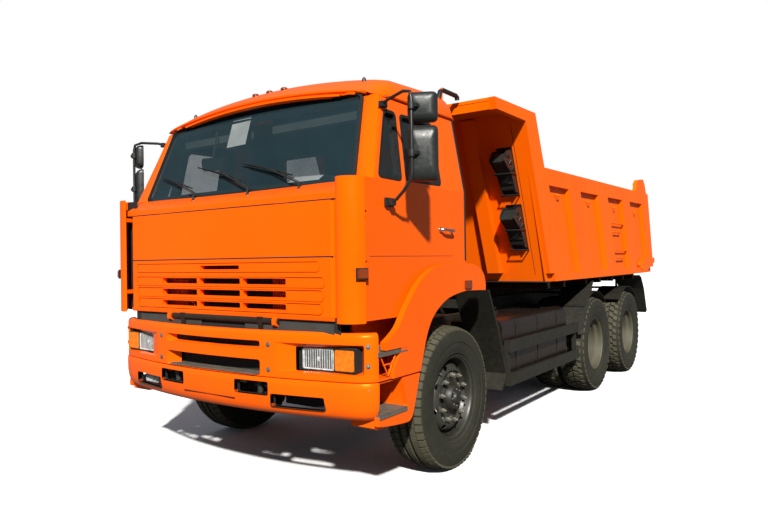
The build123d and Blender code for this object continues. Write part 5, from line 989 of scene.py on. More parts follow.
# grating on the bumper's middle step
grating = Shape()
for k in range(48):
    x = -0.425 + k * 0.0183
    grating.block(at(x, bumper_face(x) + 0.003, 0.818), at(x + 0.0050, bumper_face(x) + 0.105, 0.8265))
for k in range(7):
    station = -1.284 + k * 0.0165
    grating.block(at(-0.428, station, 0.818), at(0.445, station + 0.004, 0.8245))
grating.make("bumper_step_grating", "chassis", "zinc", bevel=0.0006)
hatch = Shape()
hatch.block(at(-0.250, bumper_face(0.15) - 0.0065, 0.6530), at(0.262, bumper_face(0.15) + 0.004, 0.6548))
hatch.make("bumper_hatch_seam", "chassis", "dark")
pins = Shape()
for sign, _ in SIDES:
    pins.lathe(at(sign * 0.418, -1.206, 0.692), UP, [(0, 0.019), (0.080, 0.019), (0.086, 0.012)], n=16)
    x0, x1 = pair(sign, 0.363, 0.473)
    pins.block(at(x0, -1.200, 0.725), at(x1, -1.180, 0.745))
pins.make("tow_pins", "chassis", "rim_front")
strips = Shape()
for x0, x1 in ((-0.915, -0.205), (0.240, 1.008)):
    strips.block(at(x0, -1.171, 1.090), at(x1, -1.162, 1.151))
strips.make("front_gap_strips", "chassis", "strip", bevel=0.002)
# a near-black sheet behind the gap between the bumper and the front panel: painted shade, which also hides
# the cab's hinges
gap = Shape()
gap.block(at(-0.99, -1.158, 1.085), at(1.05, -1.150, 1.185))
gap.make("front_gap_back", "chassis", "dark")
skirt = Shape()
foot = ((0.000, 1.194), (0.004, 1.170), (0.011, 1.166), (0.014, 1.194))
skirt.plate(-PANEL_HALF, PANEL_HALF, [(PANEL_Y + behind, z) for behind, z in foot])
skirt.make("front_panel_foot", "front_flap", "cab", bevel=0.002)


# ---------------------------------------------------------------- lamps
LENS_DOME = ((0.94, 0.006), (0.80, 0.010), (0.4, 0.012))
LENS_Z = (0.868, 0.996)
BEZEL_LOW_Z, BEZEL_TOP_Z = 0.866, 0.998
BOWL_DEPTHS = ((1.0, 0.001), (0.92, 0.003), (0.78, 0.016), (0.55, 0.024), (0.30, 0.028))


def headlamps():
    """Two lamps with ribbed lenses over bright bowls, each beside an amber lens, and one fog lamp."""
    shells, bowls, lenses, bezels, ambers, fog, fog_lens = (Shape() for _ in range(7))
    for sign, _ in SIDES:
        def face(x, z, back=0.0):
            return at(sign * x, -1.166 + 0.082 * (x - 0.70) + back, z)

        def lamp_loop(x0, x1, z0, z1, radius, back=0.0):
            return [face(q.x, q.z, back) for q in flat_loop(x0, x1, z0, z1, radius)]

        outer = lamp_loop(0.716, 1.134, 0.853, 1.011, 0.012, 0.006)
        shells.skin([outer, moved_back(outer, 0.090)])
        for x0, x1, wide in ((0.744, 0.984, 0.009), (0.988, 1.130, 0.004)):
            inner = lamp_loop(x0, x1, BEZEL_LOW_Z, BEZEL_TOP_Z, 0.014, -0.004)
            rim = lamp_loop(x0 - wide, x1 + wide * 0.6, BEZEL_LOW_Z - wide, BEZEL_TOP_Z + wide, 0.018, -0.004)
            bezels.skin([inner, rim, moved_back(rim, 0.012), moved_back(inner, 0.012)], close=True)
        loop = lamp_loop(0.746, 0.982, *LENS_Z, 0.012)
        lenses.skin([loop] + [shrunk(loop, share, out) for share, out in LENS_DOME], first=False)
        bowls.skin([shrunk(loop, share, -depth) for share, depth in BOWL_DEPTHS], first=False)
        for k in range(13):
            x = 0.756 + k * 0.0175
            bowls.tube([face(x, 0.875, 0.0015), face(x, 0.990, 0.0015)], 0.0024, 6)
        bulb = [(0, 0.020), (0.012, 0.018), (0.018, 0.006)]
        bowls.lathe(face(0.862, 0.932, 0.020), FORWARD, bulb, n=20)
        loop = lamp_loop(0.990, 1.129, *LENS_Z, 0.010)
        ambers.skin([moved_back(loop, 0.040), loop, shrunk(loop, 0.95, 0.008)])
        for k in range(7):
            x = 1.002 + k * 0.0193
            ambers.tube([face(x, 0.876, -0.008), face(x, 0.988, -0.008)], 0.0032, 6)
    loop = [at(-q.x, -1.170 + 0.10 * (q.x - 0.74), q.z) for q in flat_loop(0.702, 0.885, 0.634, 0.702, 0.014)]
    fog.skin([loop, moved_back(loop, 0.05)])
    fog_lens.skin([loop, shrunk(loop, 0.9, 0.008)])
    shells.make("lamp_shells", "chassis", "dark", replaces=("lamps",))
    bowls.make("lamp_reflectors", "chassis", "reflector")
    lenses.make("lamp_lenses", "chassis", "lens")
    bezels.make("lamp_bezels", "chassis", "plastic")
    ambers.make("lamp_indicators", "chassis", "amber")
    fog.make("fog_lamp_body", "chassis", "reflector")
    fog_lens.make("fog_lamp_lens", "chassis", "lens")


headlamps()

# ---------------------------------------------------------------- corner deflectors
plates = Shape()
face = smooth([(1.078, -1.212, 0), (1.115, -1.208, 0), (1.155, -1.190, 0), (1.190, -1.160, 0),
               (1.212, -1.118, 0)], 5)
plan = face + [p + Vector((-0.022, 0.012, 0)) for p in reversed(face)]
plates.prism([at(p.x, p.y, 1.160) for p in plan], UP * 0.870)
for z in (1.300, 1.860):
    plates.block(at(1.062, -1.205, z), at(1.105, -1.101, z + 0.030))
plates.mirrored()
plates.make("deflector_plates", "cab", "cab", bevel=0.004, replaces=("corner_deflectors",))

# ---------------------------------------------------------------- lamps of the sides and the roof
repeaters, bases = Shape(), Shape()
skew = Matrix.Rotation(radians(-28), 4, "Z")
for sign, _ in SIDES:
    turn = skew if sign > 0 else skew.inverted()
    spot = at(sign * 1.206, -1.146, 1.452)
    for shape, size, out in ((repeaters, (0.022, 0.066, 0.060), 0.011),
                             (bases, (0.012, 0.080, 0.074), 0.002)):
        centre = spot + turn @ (LEFT * sign * out)
        half = Vector(size) / 2
        shape.block(centre - half, centre + half, turn, centre)
repeaters.make("side_repeaters", "cab", "brown", bevel=0.006)
bases.make("side_repeater_bases", "cab", "plastic", bevel=0.003)
wing_lamps = Shape().block(at(1.2475, 0.0415, 1.313), at(1.2615, 0.1465, 1.375)).mirrored()
wing_lamps.make("wing_repeaters", "cab", "brown", bevel=0.004)
markers = Shape()
dome = [(0, 0.028), (0.011, 0.027), (0.018, 0.019), (0.021, 0.007)]
for x in (-0.150, 0.0, 0.150):
    markers.lathe(at(x, -0.672, 2.806), UP, dome, n=20)
markers.make("roof_markers", "cab", "brown")
clear = Shape()
for x in (-0.88, 0.88):
    clear.lathe(at(x, -0.660, 2.740), UP, [(0, 0.015), (0.022, 0.014), (0.032, 0.007)], n=14)
clear.make("roof_clearance_lamps", "cab", "plastic")
sleeve = Shape()
path = ((0.180, 2.560), (0.262, 2.800), (0.290, 2.868), (0.325, 2.890), (0.548, 2.890), (0.572, 2.880),
        (0.575, 2.858))
sleeve.tube([at(0.925, station, z) for station, z in path], 0.0195, 14)
sleeve.make("breather_sleeve", "cab", "seal")


# ---------------------------------------------------------------- wipers
def wipers():
    """Three wipers: sprung arms from the cowl, and blades that lie on the glass."""
    arms, blades = Shape(), Shape()
    # each wiper's pivot, the arm's elbow, and the two ends of its blade
    for pivot, elbow, tip_a, tip_b in (
        ((-0.399, 1.985), (-0.700, 2.150), (-0.930, 2.215), (-0.480, 2.090)),
        ((0.180, 1.985), (-0.180, 2.180), (-0.480, 2.252), (0.060, 2.105)),
        ((0.650, 1.975), (0.380, 2.135), (0.020, 2.232), (0.545, 2.098)),
    ):
        root = at(pivot[0], -1.052, pivot[1])
        hub = on_screen(pivot[0], pivot[1] + 0.045, 0.040)
        middle = on_screen(*elbow, 0.034)
        cap = [(0, 0.020), (0.045, 0.018), (0.052, 0.010)]
        arms.lathe(root + Vector((0, 0.012, -0.010)), SCREEN_OUT, cap, n=14)
        arms.tube([root + SCREEN_OUT * 0.035, hub, middle], 0.0065, 8)
        arms.tube([hub + LEFT * 0.02, middle + LEFT * 0.02 + UP * 0.01], 0.003, 6)
        a, b = on_screen(*tip_a, 0.016), on_screen(*tip_b, 0.016)
        blades.tube([a, b], 0.0055, 6)
        reach = (b - a).normalized() * 0.05
        low, raised = SCREEN_OUT * 0.002, SCREEN_OUT * 0.014
        centre = (a + b) / 2
        claws = [a + (b - a) * share for share in (0.18, 0.82)]
        for p in claws:
            blades.tube([p - reach + low, p + raised, p + reach + low], 0.0035, 6)
        blades.tube([claws[0] + raised, centre + SCREEN_OUT * 0.024, claws[1] + raised], 0.0045, 6)
        arms.tube([middle, centre + SCREEN_OUT * 0.022], 0.005, 6)
    arms.make("wiper_arms", "cab", "plastic")
    blades.make("wiper_blades", "cab", "seal")


wipers()

# ---------------------------------------------------------------- inside the cab
papers = Shape()
corners = ((-0.275, 2.630), (-0.075, 2.636), (-0.060, 2.410), (-0.262, 2.404))
papers.prism([on_screen(x, z, -0.026) for x, z in corners], SCREEN_OUT * -0.001)
corners = ((0.44, -0.975, 2.048), (0.70, -0.975, 2.040), (0.70, -0.880, 2.105), (0.44, -0.880, 2.112))
papers.prism([at(*corner) for corner in corners], UP * 0.001)
papers.make("screen_papers", "cab", "paper")
inner_mirror = Shape()
corners = ((-0.56, 2.250), (-0.33, 2.235), (-0.325, 2.335), (-0.575, 2.350))
inner_mirror.prism(rounded([at(x, -0.860, z) for x, z in corners], 0.03, 5), FORWARD * -0.03)
inner_mirror.tube([at(-0.45, -0.84, 2.34), at(-0.45, -0.80, 2.55)], 0.008, 8)
inner_mirror.make("cabin_mirror", "cab", "plastic", bevel=0.004)
visors = Shape()
for x0, x1 in ((-0.90, -0.10), (0.10, 0.90)):
    visors.block(at(x0, -0.760, 2.46), at(x1, -0.735, 2.585))
visors.make("sun_visors", "cab", "lining", bevel=0.010)


def seat(middle):
    """A seat: its base, a cushion and a back with side rolls, and a headrest."""
    side = "left" if middle > 0 else "right"
    base = Shape()
    base.block(at(middle - 0.19, -0.46, 1.372), at(middle + 0.19, -0.08, 1.47))
    base.make(f"seat_base_{side}", "cab", "dark", bevel=0.02)
    pad = Shape()
    for x0, x1, lift in ((-0.245, -0.165, 0.018), (-0.155, 0.155, 0), (0.165, 0.245, 0.018)):
        cushion = ((-0.50, 1.475), (-0.03, 1.460), (-0.05, 1.570 + lift), (-0.46, 1.600 + lift),
                   (-0.52, 1.575 + lift))
        back = ((-0.11 - lift, 1.58), (-0.025, 1.56), (0.055, 2.02), (0.025, 2.06), (-0.025 - lift, 2.03))
        pad.plate(middle + x0, middle + x1, cushion)
        pad.plate(middle + x0, middle + x1, back)
    pad.plate(middle - 0.13, middle + 0.13, ((-0.005, 2.075), (0.055, 2.075), (0.065, 2.24), (0.015, 2.245)))
    for x in (middle - 0.06, middle + 0.06):
        pad.tube([at(x, 0.03, 2.03), at(x, 0.035, 2.10)], 0.007, 8)
    return pad.make(f"seat_pads_{side}", "cab", "cloth", bevel=0.026, segments=4)


left_seat = seat(0.70)
for pads in (left_seat, seat(-0.70)):
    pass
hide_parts("seats")
shelf = Shape()
shelf.block(at(-1.0, 0.072, 1.62), at(1.0, 0.108, 1.66))
for sign, _ in SIDES:
    x0, x1 = pair(sign, *REAR_PANE[:2])
    z0, z1 = REAR_PANE[2:]
    corners = [at(x, 0.108, z) for x, z in ((x0, z0), (x1, z0), (x1, z1), (x0, z1))]
    shelf.band(rounded(corners, 0.05, 5), FORWARD, 0.014, 0.014, 0.006, 0.002)
shelf.make("rear_window_trims", "cab", "lining", bevel=0.002)

# ---------------------------------------------------------------- doors
GRIP_FRONT, GRIP_REAR = -0.225, -0.065
for sign, side in SIDES:
    handle, recess, crease = Shape(), Shape(), Shape()
    out = LEFT * sign
    grip = ((1.204, GRIP_FRONT, 1.742), (1.228, GRIP_FRONT + 0.012, 1.742), (1.236, GRIP_FRONT + 0.05, 1.740),
            (1.236, GRIP_REAR - 0.03, 1.738), (1.226, GRIP_REAR, 1.737))
    handle.tube([at(sign * x, station, z) for x, station, z in grip], 0.011, 10)
    front_rose = [(0, 0.020), (0.012, 0.019), (0.016, 0.012)]
    handle.lathe(at(sign * 1.199, GRIP_FRONT + 0.004, 1.742), out, front_rose, n=18)
    rear_rose = [(0, 0.017), (0.010, 0.016), (0.014, 0.008)]
    handle.lathe(at(sign * 1.199, GRIP_REAR + 0.004, 1.737), out, rear_rose, n=18)
    handle.make(f"door_handle_{side}", f"door_{side}", "chrome")
    recess.lathe(at(sign * 1.1975, -0.150, 1.735), out, [(0, 0.058), (0.0035, 0.056), (0.001, 0.046)], n=32)
    recess.make(f"door_handle_dish_{side}", f"door_{side}", "cab")
    # a thin near-black line along the door's crease: painted shade of the crease
    x0, x1 = pair(sign, 1.1990, 1.2012)
    crease.block(at(x0, -1.060, 1.5555), at(x1, -0.034, 1.5585))
    crease.make(f"door_crease_shade_{side}", f"door_{side}", "dark")
rail = Shape()
rail.tube([at(1.096, -0.720, 2.600), at(1.104, -0.66, 2.606), at(1.106, 0.140, 2.606),
           at(1.100, 0.165, 2.596)], 0.010, 8)
rail.mirrored()
rail.make("drip_rails", "cab", "cab")
rear_seals = Shape()
rear_seals.tube([at(1.196, 0.152, 1.52), at(1.196, 0.152, BELT_Z), at(1.092, 0.152, 2.60)], 0.012, 8)
rear_seals.mirrored()
rear_seals.make("cab_rear_seals", "cab", "seal")

# ---------------------------------------------------------------- mirrors
ROD_X, ROD_STATION = 1.403, -0.895
# directions along the mirrors' glass and square to it, towards their backs
HEAD_RIGHT, HEAD_BACK = Vector((0.88, 0.47, 0)), Vector((0.47, -0.88, 0))
HEAD_HALF_WIDTH = 0.0925
HEAD_DOME = ((1.0, -0.012), (1.0, 0.006), (0.97, 0.020), (0.90, 0.036), (0.76, 0.048), (0.50, 0.055))
for sign, side in SIDES:
    arms, heads, faces, clamps = Shape(), Shape(), Shape(), Shape()
    arms.tube([at(1.118, -0.792, 2.528), at(1.180, -0.815, 2.545), at(1.330, -0.872, 2.560),
               at(1.392, -0.892, 2.545), at(ROD_X, ROD_STATION, 2.500), at(ROD_X, ROD_STATION, 2.060),
               at(1.396, -0.893, 2.020), at(1.330, -0.880, 1.950), at(1.270, -0.868, 1.905),
               at(1.225, -0.860, 1.890)], 0.0105, 12)
    clamps.block(at(1.2005, -0.905, 1.862), at(1.222, -0.820, 1.918))
    clamps.block(at(1.214, -0.885, 1.868), at(1.250, -0.840, 1.912))
    clamps.block(at(1.108, -0.822, 2.508), at(1.142, -0.762, 2.545))
    for z in (2.170, 2.455):
        clamps.lathe(at(ROD_X, ROD_STATION, z - 0.022), UP, [(0, 0.022), (0.044, 0.022)], n=16)
        clamps.block(at(ROD_X - 0.008, ROD_STATION - 0.010, z - 0.012),
                     at(ROD_X + 0.040, ROD_STATION + 0.060, z + 0.012))
    for z0, z1 in ((2.004, 2.346), (2.364, 2.550)):
        centre = at(ROD_X + 0.028, ROD_STATION + 0.085, (z0 + z1) / 2)
        right, up = HEAD_RIGHT * HEAD_HALF_WIDTH, UP * ((z1 - z0) / 2)
        corners = ((-1, -1), (1, -1), (1, 1), (-1, 1))
        outline = rounded([centre + right * a + up * b for a, b in corners], 0.035, 6)
        heads.skin([[centre + (p - centre) * share + HEAD_BACK * depth for p in outline]
                    for share, depth in HEAD_DOME])
        faces.prism([centre + (p - centre) * 0.90 - HEAD_BACK * 0.0125 for p in outline], HEAD_BACK * -0.0015)
    for shape, stem, finish, bevel in ((arms, "arms", "plastic", 0), (heads, "heads", "plastic", 0),
                                       (faces, "faces", "mirror", 0), (clamps, "clamps", "plastic", 0.003)):
        shown = shape if sign > 0 else shape.flipped()
        shown.make(f"mirror_{stem}_{side}", f"door_{side}", finish, bevel=bevel)
    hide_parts(f"mirrors_{side}")

# ---------------------------------------------------------------- wings and entrance steps
WING_TOP = smooth([(-0.972, 1.034, 0), (-0.835, 1.114, 0), (-0.732, 1.238, 0), (-0.578, 1.383, 0),
                   (-0.449, 1.454, 0), (-0.314, 1.490, 0), (-0.100, 1.503, 0), (0.150, 1.497, 0),
                   (0.280, 1.472, 0), (0.360, 1.420, 0), (0.391, 1.350, 0), (0.391, 1.292, 0)], 4)
WING_ARCH = smooth([(0.391, 1.290, 0), (0.200, 1.296, 0), (0.045, 1.297, 0), (-0.181, 1.263, 0),
                    (-0.323, 1.205, 0), (-0.425, 1.130, 0), (-0.493, 1.032, 0), (-0.544, 0.906, 0),
                    (-0.580, 0.806, 0)], 4)
WING_FRONT = [(-0.600, 0.806), (-0.896, 0.806), (-0.890, 0.860), (-0.810, 0.965), (-0.800, 0.985),
              (-0.968, 0.985)]
wing = Shape()
wing.plate(1.205, 1.249, [(p.x, p.y) for p in WING_TOP + WING_ARCH] + WING_FRONT)
# flange that rolls in round the arch
for a, b in zip(WING_ARCH, WING_ARCH[1:]):
    wing.plate(0.900, 1.210, ((a.x, a.y), (b.x, b.y), (b.x, b.y + 0.012), (a.x, a.y + 0.012)))
# walls and floor of the upper step's bay
wing.plate(1.026, 1.040, ((-1.030, 0.812), (-0.640, 0.812), (-0.600, 1.180), (-1.030, 1.180)))
wing.prism([at(1.035, -0.700, 0.812), at(1.240, -0.885, 0.812), at(1.240, -0.790, 0.975),
            at(1.035, -0.700, 0.975)], FORWARD * -0.012)
wing.prism([at(0.960, -1.036, 0.806), at(1.235, -1.036, 0.806), at(1.235, -0.880, 0.806),
            at(0.960, -0.590, 0.806)], UP * 0.014)
# brackets between the wing and the cab
wing.block(at(1.000, -1.000, 0.812), at(1.030, -0.960, 1.198))
wing.block(at(1.000, 0, 1.296), at(1.040, 0.060, 1.498))
wing.mirrored()
wing.make("wing_shells", "cab", "cab", bevel=0.014, replaces=("wings",), segments=4)
STEP_WALL = smooth([(-0.584, 0.796, 0), (-0.602, 0.752, 0), (-0.640, 0.640, 0), (-0.668, 0.569, 0),
                    (-0.700, 0.522, 0), (-0.760, 0.508, 0), (-0.971, 0.528, 0), (-1.060, 0.545, 0)], 4)
STEP_MOUTH = [(-1.060, 0.600), (-0.770, 0.585), (-0.745, 0.620), (-0.790, 0.796)]
STEP_REAR = ((-0.650, 0.796), (-0.640, 0.640), (-0.690, 0.520), (-0.760, 0.520), (-0.745, 0.620),
             (-0.790, 0.796))
lower_box = Shape()
lower_box.plate(1.215, 1.249, [(p.x, p.y) for p in STEP_WALL] + STEP_MOUTH)
lower_box.block(at(1.020, -1.036, 0.521), at(1.230, -0.740, 0.600))
lower_box.plate(1.020, 1.225, STEP_REAR)
lower_box.block(at(1.020, -1.036, 0.600), at(1.034, -0.740, 0.796))
lower_box.block(at(1.020, -1.040, 0.786), at(1.225, -0.640, 0.798))
lower_box.block(at(0.470, -1.020, 0.740), at(1.022, -0.960, 0.788))
lower_box.mirrored()
lower_box.make("lower_step_boxes", "chassis", "cab", bevel=0.005, replaces=("lower_steps",))
CROSS_PITCH, LONG_PITCH = 0.018, 0.022  # of the gratings' bars


def step_plate(x0, x1, front, rear, z, stem, body):
    """A step of grating inside a folded edge."""
    edge, grate = Shape(), Shape()
    edge.block(at(x1 - 0.008, front, z - 0.020), at(x1, rear, z + 0.006))
    edge.block(at(x0, front, z - 0.020), at(x1, front + 0.008, z + 0.006))
    edge.block(at(x0, rear - 0.008, z - 0.020), at(x1, rear, z + 0.006))
    for k in range(1, int((rear - front) / CROSS_PITCH)):
        station = front + k * CROSS_PITCH
        grate.block(at(x0, station, z - 0.010), at(x1 - 0.008, station + 0.005, z + 0.003))
    for k in range(1, int((x1 - x0) / LONG_PITCH)):
        x = x0 + k * LONG_PITCH
        grate.block(at(x, front + 0.008, z - 0.009), at(x + 0.005, rear - 0.008, z + 0.0015))
    edge.mirrored()
    grate.mirrored()
    edge.make(f"step_frames_{stem}", body, "zinc", bevel=0.001)
    grate.make(f"step_gratings_{stem}", body, "zinc")


step_plate(1.040, 1.2495, -1.050, -0.735, 0.975, "upper", "cab")
step_plate(1.036, 1.2540, -1.050, -0.752, 0.606, "lower", "chassis")
bracket = Shape()
for station in (-1.020, -0.850):
    bracket.tube([at(1.236, station, 0.960), at(1.236, -0.935, 0.830)], 0.005, 8)
for x in (1.060, 1.236):
    bracket.tube([at(x, -1.020, 0.958), at(x, -0.850, 0.958)], 0.005, 8)
    bracket.tube([at(x, -0.985, 0.900), at(x, -0.890, 0.900)], 0.005, 8)
bracket.mirrored()
bracket.make("step_brackets", "cab", "cab")

# ---------------------------------------------------------------- wheels
BARREL = (
    (0.104, 0.2845), (0.111, 0.2875), (0.116, 0.2945), (0.118, 0.3010), (0.1145, 0.3015), (0.110, 0.2960),
    (0.104, 0.2900), (0.090, 0.2840), (-0.094, 0.2840), (-0.104, 0.2900), (-0.112, 0.3010), (-0.116, 0.3000),
    (-0.112, 0.2870), (-0.100, 0.2780), (-0.060, 0.2740), (-0.040, 0.2520), (0.030, 0.2520), (0.050, 0.2700),
    (0.086, 0.2780),
)
DISC = (
    (0.020, 0.2520), (0.046, 0.2505), (0.070, 0.2440), (0.088, 0.2320), (0.098, 0.2180), (0.103, 0.2040),
    (0.104, 0.1960), (0.100, 0.1930), (0.084, 0.1900), (0.080, 0.1860), (0.080, 0.0900), (0.072, 0.0900),
    (0.072, 0.1880), (0.090, 0.2020), (0.086, 0.2220), (0.062, 0.2400), (0.020, 0.2440),
)
HUB = (
    (0.060, 0.116), (0.090, 0.115), (0.096, 0.108), (0.098, 0.098), (0.112, 0.094), (0.134, 0.084),
    (0.140, 0.078), (0.142, 0.046), (0.148, 0.042), (0.156, 0.038), (0.160, 0.022), (0.158, 0.001),
)
DRUM_FACE = ((0.006, 0.130), (0.006, 0.2480), (0.012, 0.2480), (0.012, 0.130))
HAND_HOLES, HAND_HOLE_R = 8, 0.2230
for sign, side in SIDES:
    out = LEFT * sign
    centre = at(sign * FRONT_TYRE_X, AXLES["front"], FRONT_TYRE_R)
    body = f"wheel_front_{side}"
    # the barrel takes the black chassis finish: painted shade for the deep well between the disc and the
    # flange
    Shape().lathe(centre, out, BARREL, n=96, close=True).make(
        f"rim_barrel_front_{side}", body, "chassis", replaces=(f"front_rim_{side}",))
    holes = Shape()
    for k in range(HAND_HOLES):
        spoke = round_axle(out, tau * k / HAND_HOLES + 0.30)
        middle = centre + spoke * HAND_HOLE_R + out * 0.040
        holes.prism(circle(middle, spoke * 0.0150, out.cross(spoke) * 0.0260, 1, 20), out * 0.110)
    Shape().lathe(centre, out, DISC, n=96, close=True).make(
        f"wheel_disc_front_{side}", body, "rim_front", cut=holes)
    Shape().lathe(centre, out, HUB, n=64).make(f"hub_front_{side}", body, "chassis", bevel=0.002)
    # a near-black face behind the hand holes: painted shade seen through them
    Shape().lathe(centre, out, DRUM_FACE, n=64, close=True).make(f"brake_drum_face_shade_{side}", body, "dark")

RING = ((-0.003, 0.2935), (0.006, 0.2965), (0.009, 0.2925), (0.006, 0.288), (-0.006, 0.2835))
NUTS, NUT_CIRCLE_R = 10, 0.1675
WHEELS = (
    # axle, X, tyre's radius, nuts' seat along the axle, hub's bolts with their seat and circle, rim's finish
    ("front", FRONT_TYRE_X, FRONT_TYRE_R, 0.0800, 8, 0.136, 0.060, "rim_front"),
    ("mid", REAR_OUTER_X, REAR_TYRE_R, -0.1565, 12, -0.084, 0.088, "rim_rear"),
    ("rear", REAR_OUTER_X, REAR_TYRE_R, -0.1565, 12, -0.084, 0.088, "rim_rear"),
)
for sign, side in SIDES:
    out = LEFT * sign
    for name, x, r, seat, count, bolt_seat, bolt_circle_r, finish in WHEELS:
        nuts, ring = Shape(), Shape()
        centre = at(sign * x, AXLES[name], r)
        for k in range(NUTS):
            foot = centre + out * seat + round_axle(out, tau * k / NUTS + 0.1) * NUT_CIRCLE_R
            nuts.nut(foot + out * 0.026, out, 0.0170, 0.022)
            nuts.lathe(foot, out, [(0, 0.024), (0.005, 0.023)], n=16)
        for k in range(count):
            foot = centre + out * bolt_seat + round_axle(out, tau * k / count) * bolt_circle_r
            nuts.bolt(foot, out, 0.007, 0.012, washer=False)
        nuts.make(f"wheel_nuts_{name}_{side}", f"wheel_{name}_{side}", "steel")
        ring.lathe(centre + out * 0.1095, out, RING, n=72, close=True)
        valve = round_axle(out, 0.7)
        stem = ((0.060, 0.262), (0.098, 0.256), (0.112, 0.240))
        ring.tube([centre + out * along + valve * radius for along, radius in stem], 0.005, 8)
        ring.make(f"rim_rings_{name}_{side}", f"wheel_{name}_{side}", finish)

# ---------------------------------------------------------------- tipping body's fittings
WALL_SLOPE, WALL_FOOT_Z = 0.395, 1.360
LOCK_STATION, HINGE_STATION = 5.384, 5.568


def wall_station(z):
    """Station of the front wall's outer face at a height."""
    return BODY_FRONT - (z - WALL_FOOT_Z) * WALL_SLOPE


locks = Shape()
locks.lathe(at(1.246, LOCK_STATION, 1.425), LEFT, [(-0.03, 0.034), (0.000, 0.034), (0.003, 0.028)], n=24)
locks.tube([at(1.238, LOCK_STATION, 1.425), at(1.2475, 5.41, 1.37), at(1.2475, 5.50, 1.35),
            at(1.2475, 5.52, 1.40)], 0.010, 8)
locks.lathe(at(1.200, HINGE_STATION, 2.578), LEFT, [(0, 0.036), (0.046, 0.036), (0.0495, 0.030)], n=24)
locks.mirrored()
locks.make("gate_fittings", "bed", "bed")
seams = Shape()
for x in (1.100, -1.100):
    foot, head = (at(x, wall_station(z) - 0.0015, z) for z in (1.37, 2.74))
    corners = ((-0.002, 0), (0.002, 0), (0.002, 0.004), (-0.002, 0.004))
    seams.prism([foot + Vector((across, back, 0)) for across, back in corners], head - foot)
seams.make("front_wall_seams", "bed", "dark")
lip = Shape()
lip.block(at(-1.245, 1.792, 1.296), at(1.245, 1.830, 1.308))
lip.make("front_wall_foot", "bed", "dark", bevel=0.003)
welds = Shape()
for x in (0.634, 0.766, -0.634, -0.766):
    welds.tube([at(x, wall_station(z) - 0.004, z) for z in (1.40, 2.78)], 0.005, 6)
welds.make("channel_welds", "bed", "bed")
CHOCK_SECTION = (
    # distance from the wall, height from the chock's middle
    (0.012, -0.20), (0.075, -0.19), (0.085, -0.10), (0.120, -0.02), (0.200, 0.050), (0.225, 0.075),
    (0.205, 0.105), (0.130, 0.165), (0.060, 0.185), (0.012, 0.185),
)
CHOCK_DEPTH_MIDDLE = 0.10


def chock(x, middle, tag):
    """A wheel chock, a curved ribbed wedge, clasped on the front wall."""
    body, clasp, catches = Shape(), Shape(), Shape()

    def spot(across, out, rise):
        z = middle + rise
        return at(x + across, wall_station(z) - out, z)

    for x0, x1, inset in ((-0.074, -0.060, 0), (-0.060, 0.060, 0.12), (0.060, 0.074, 0)):
        body.prism([spot(x0, out + (CHOCK_DEPTH_MIDDLE - out) * inset, rise * (1 - inset))
                    for out, rise in CHOCK_SECTION], LEFT * (x1 - x0))
    for k in range(5):
        rise = -0.12 + k * 0.045
        out = 0.085 + max(0, k - 1.5) * 0.032
        rib = [spot(-0.07, out, rise), spot(-0.07, out + 0.014, rise + 0.006), spot(-0.07, out, rise + 0.018)]
        body.prism(rib, LEFT * 0.14)
    strap = ((0.001, -0.215), (0.010, -0.215), (0.010, 0.215), (0.001, 0.215))
    clasp.prism([spot(-0.078, out, rise) for out, rise in strap], LEFT * 0.156)
    for rise, reach in ((-0.215, 0.080), (-0.03, 0.150)):
        clasp.tube([spot(-0.080, 0.008, rise), spot(-0.080, reach, rise), spot(0.080, reach, rise),
                    spot(0.080, 0.008, rise)], 0.007, 8)
    for k in range(3):
        rise = k * 0.055
        catches.tube([spot(0.078, 0.05 + 0.03 * k, rise), spot(0.092, 0.08 + 0.03 * k, rise + 0.03),
                      spot(0.080, 0.11 + 0.02 * k, rise)], 0.006, 6)
        catches.bolt(spot(0.074, 0.07 + 0.02 * k, rise + 0.01), LEFT, 0.009, 0.012)
    piece = body.make(f"chock_wedge_{tag}", "bed", "plastic", bevel=0.004)
    clasp.make(f"chock_clasp_{tag}", "bed", "seal", bevel=0.002)
    catches.make(f"chock_catches_{tag}", "bed", "plastic")
    return piece


first = chock(1.000, 2.340, "upper")
chock(1.000, 1.830, "lower")
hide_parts("wheel_chocks")

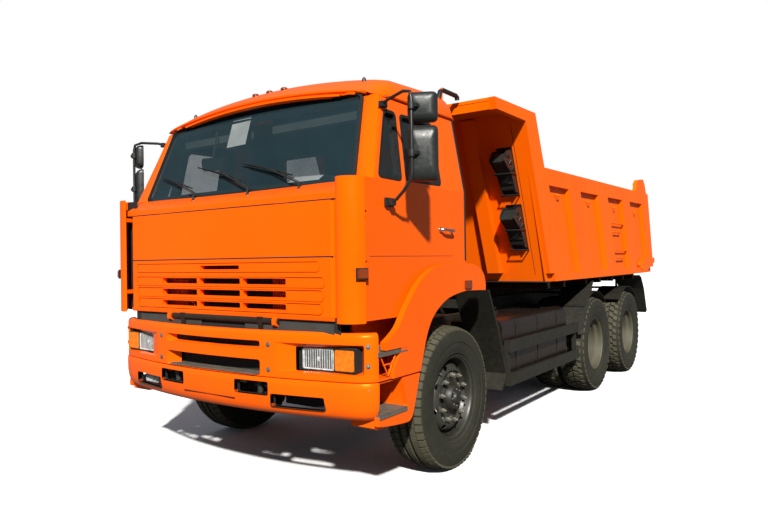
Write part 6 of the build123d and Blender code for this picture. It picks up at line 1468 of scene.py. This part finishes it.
# ---------------------------------------------------------------- chassis details
battery = Shape()
for station in (1.00, 1.47):
    battery.block(at(-1.1445, station - 0.02, 0.60), at(-1.138, station + 0.02, 0.70))
corners = ((0.93, 0.545), (1.545, 0.545), (1.545, 0.94), (0.93, 0.94))
lid = rounded([at(-1.1405, station, z) for station, z in corners], 0.02, 3)
battery.band(lid, -LEFT, 0.006, 0.006, 0.003, 0.003)
battery.make("battery_cover", "chassis", "chassis", bevel=0.002)
hoses = Shape()
for x, z in ((0.395, 0.90), (0.380, 0.87), (0.385, 0.84)):
    hoses.tube([at(x, 0.70, z), at(x, 1.6, z + 0.01), at(x, 2.6, z), at(x, 3.0, z - 0.01)], 0.007, 8)
hoses.make("air_pipes", "chassis", "seal")
clamp_bolts = Shape()
for sign, _ in SIDES:
    for stations, xs, z0, z1, radius in (((-0.055, 0.055), (0.352, 0.438), 0.40, 0.58, 0.009),
                                         ((4.005, 4.115), (0.452, 0.548), 0.50, 0.855, 0.011)):
        for station in stations:
            for x in xs:
                clamp_bolts.tube([at(sign * x, station, z0), at(sign * x, station, z1)], radius, 8)
clamp_bolts.make("spring_bolts", "chassis", "cast")
flaps = Shape().plate(0.89, 1.225, ((5.762, 0.860), (5.772, 0.860), (5.788, 0.715), (5.778, 0.715)))
flaps.mirrored()
flaps.make("mud_flaps", "chassis", "seal", bevel=0.002)
arches = Shape()
arc = [radians(-42 + 84 * k / 14) for k in range(15)]
for station in (AXLES["mid"], AXLES["rear"]):
    arches.plate(0.880, 1.220, [(station + r * sin(a), REAR_TYRE_R + r * cos(a))
                                for r, turns in ((0.606, arc), (0.600, arc[::-1])) for a in turns])
    arches.block(at(0.440, station - 0.020, 1.108), at(0.900, station + 0.020, 1.136))
arches.mirrored()
arches.make("wheel_arches", "chassis", "chassis", bevel=0.001)
boxes = Shape().block(at(0.70, 5.556, 0.655), at(1.06, 5.596, 0.750)).mirrored()
boxes.make("rear_lamp_boxes", "chassis", "plastic", bevel=0.006)
for name, x0, x1, finish in (("stop", 0.88, 1.05, "red"), ("turn", 0.80, 0.875, "amber"),
                             ("reverse", 0.71, 0.795, "lens")):
    lenses = Shape().block(at(x0, 5.590, 0.664), at(x1, 5.606, 0.741)).mirrored()
    lenses.make(f"rear_lenses_{name}", "chassis", finish, bevel=0.004)
plate = Shape()
plate.block(at(-0.26, 5.558, 0.585), at(0.26, 5.564, 0.640))
plate.block(at(-0.26, 5.560, 0.640), at(0.26, 5.566, 0.700))
plate.make("rear_plate_blank", "chassis", "strip", bevel=0.001)
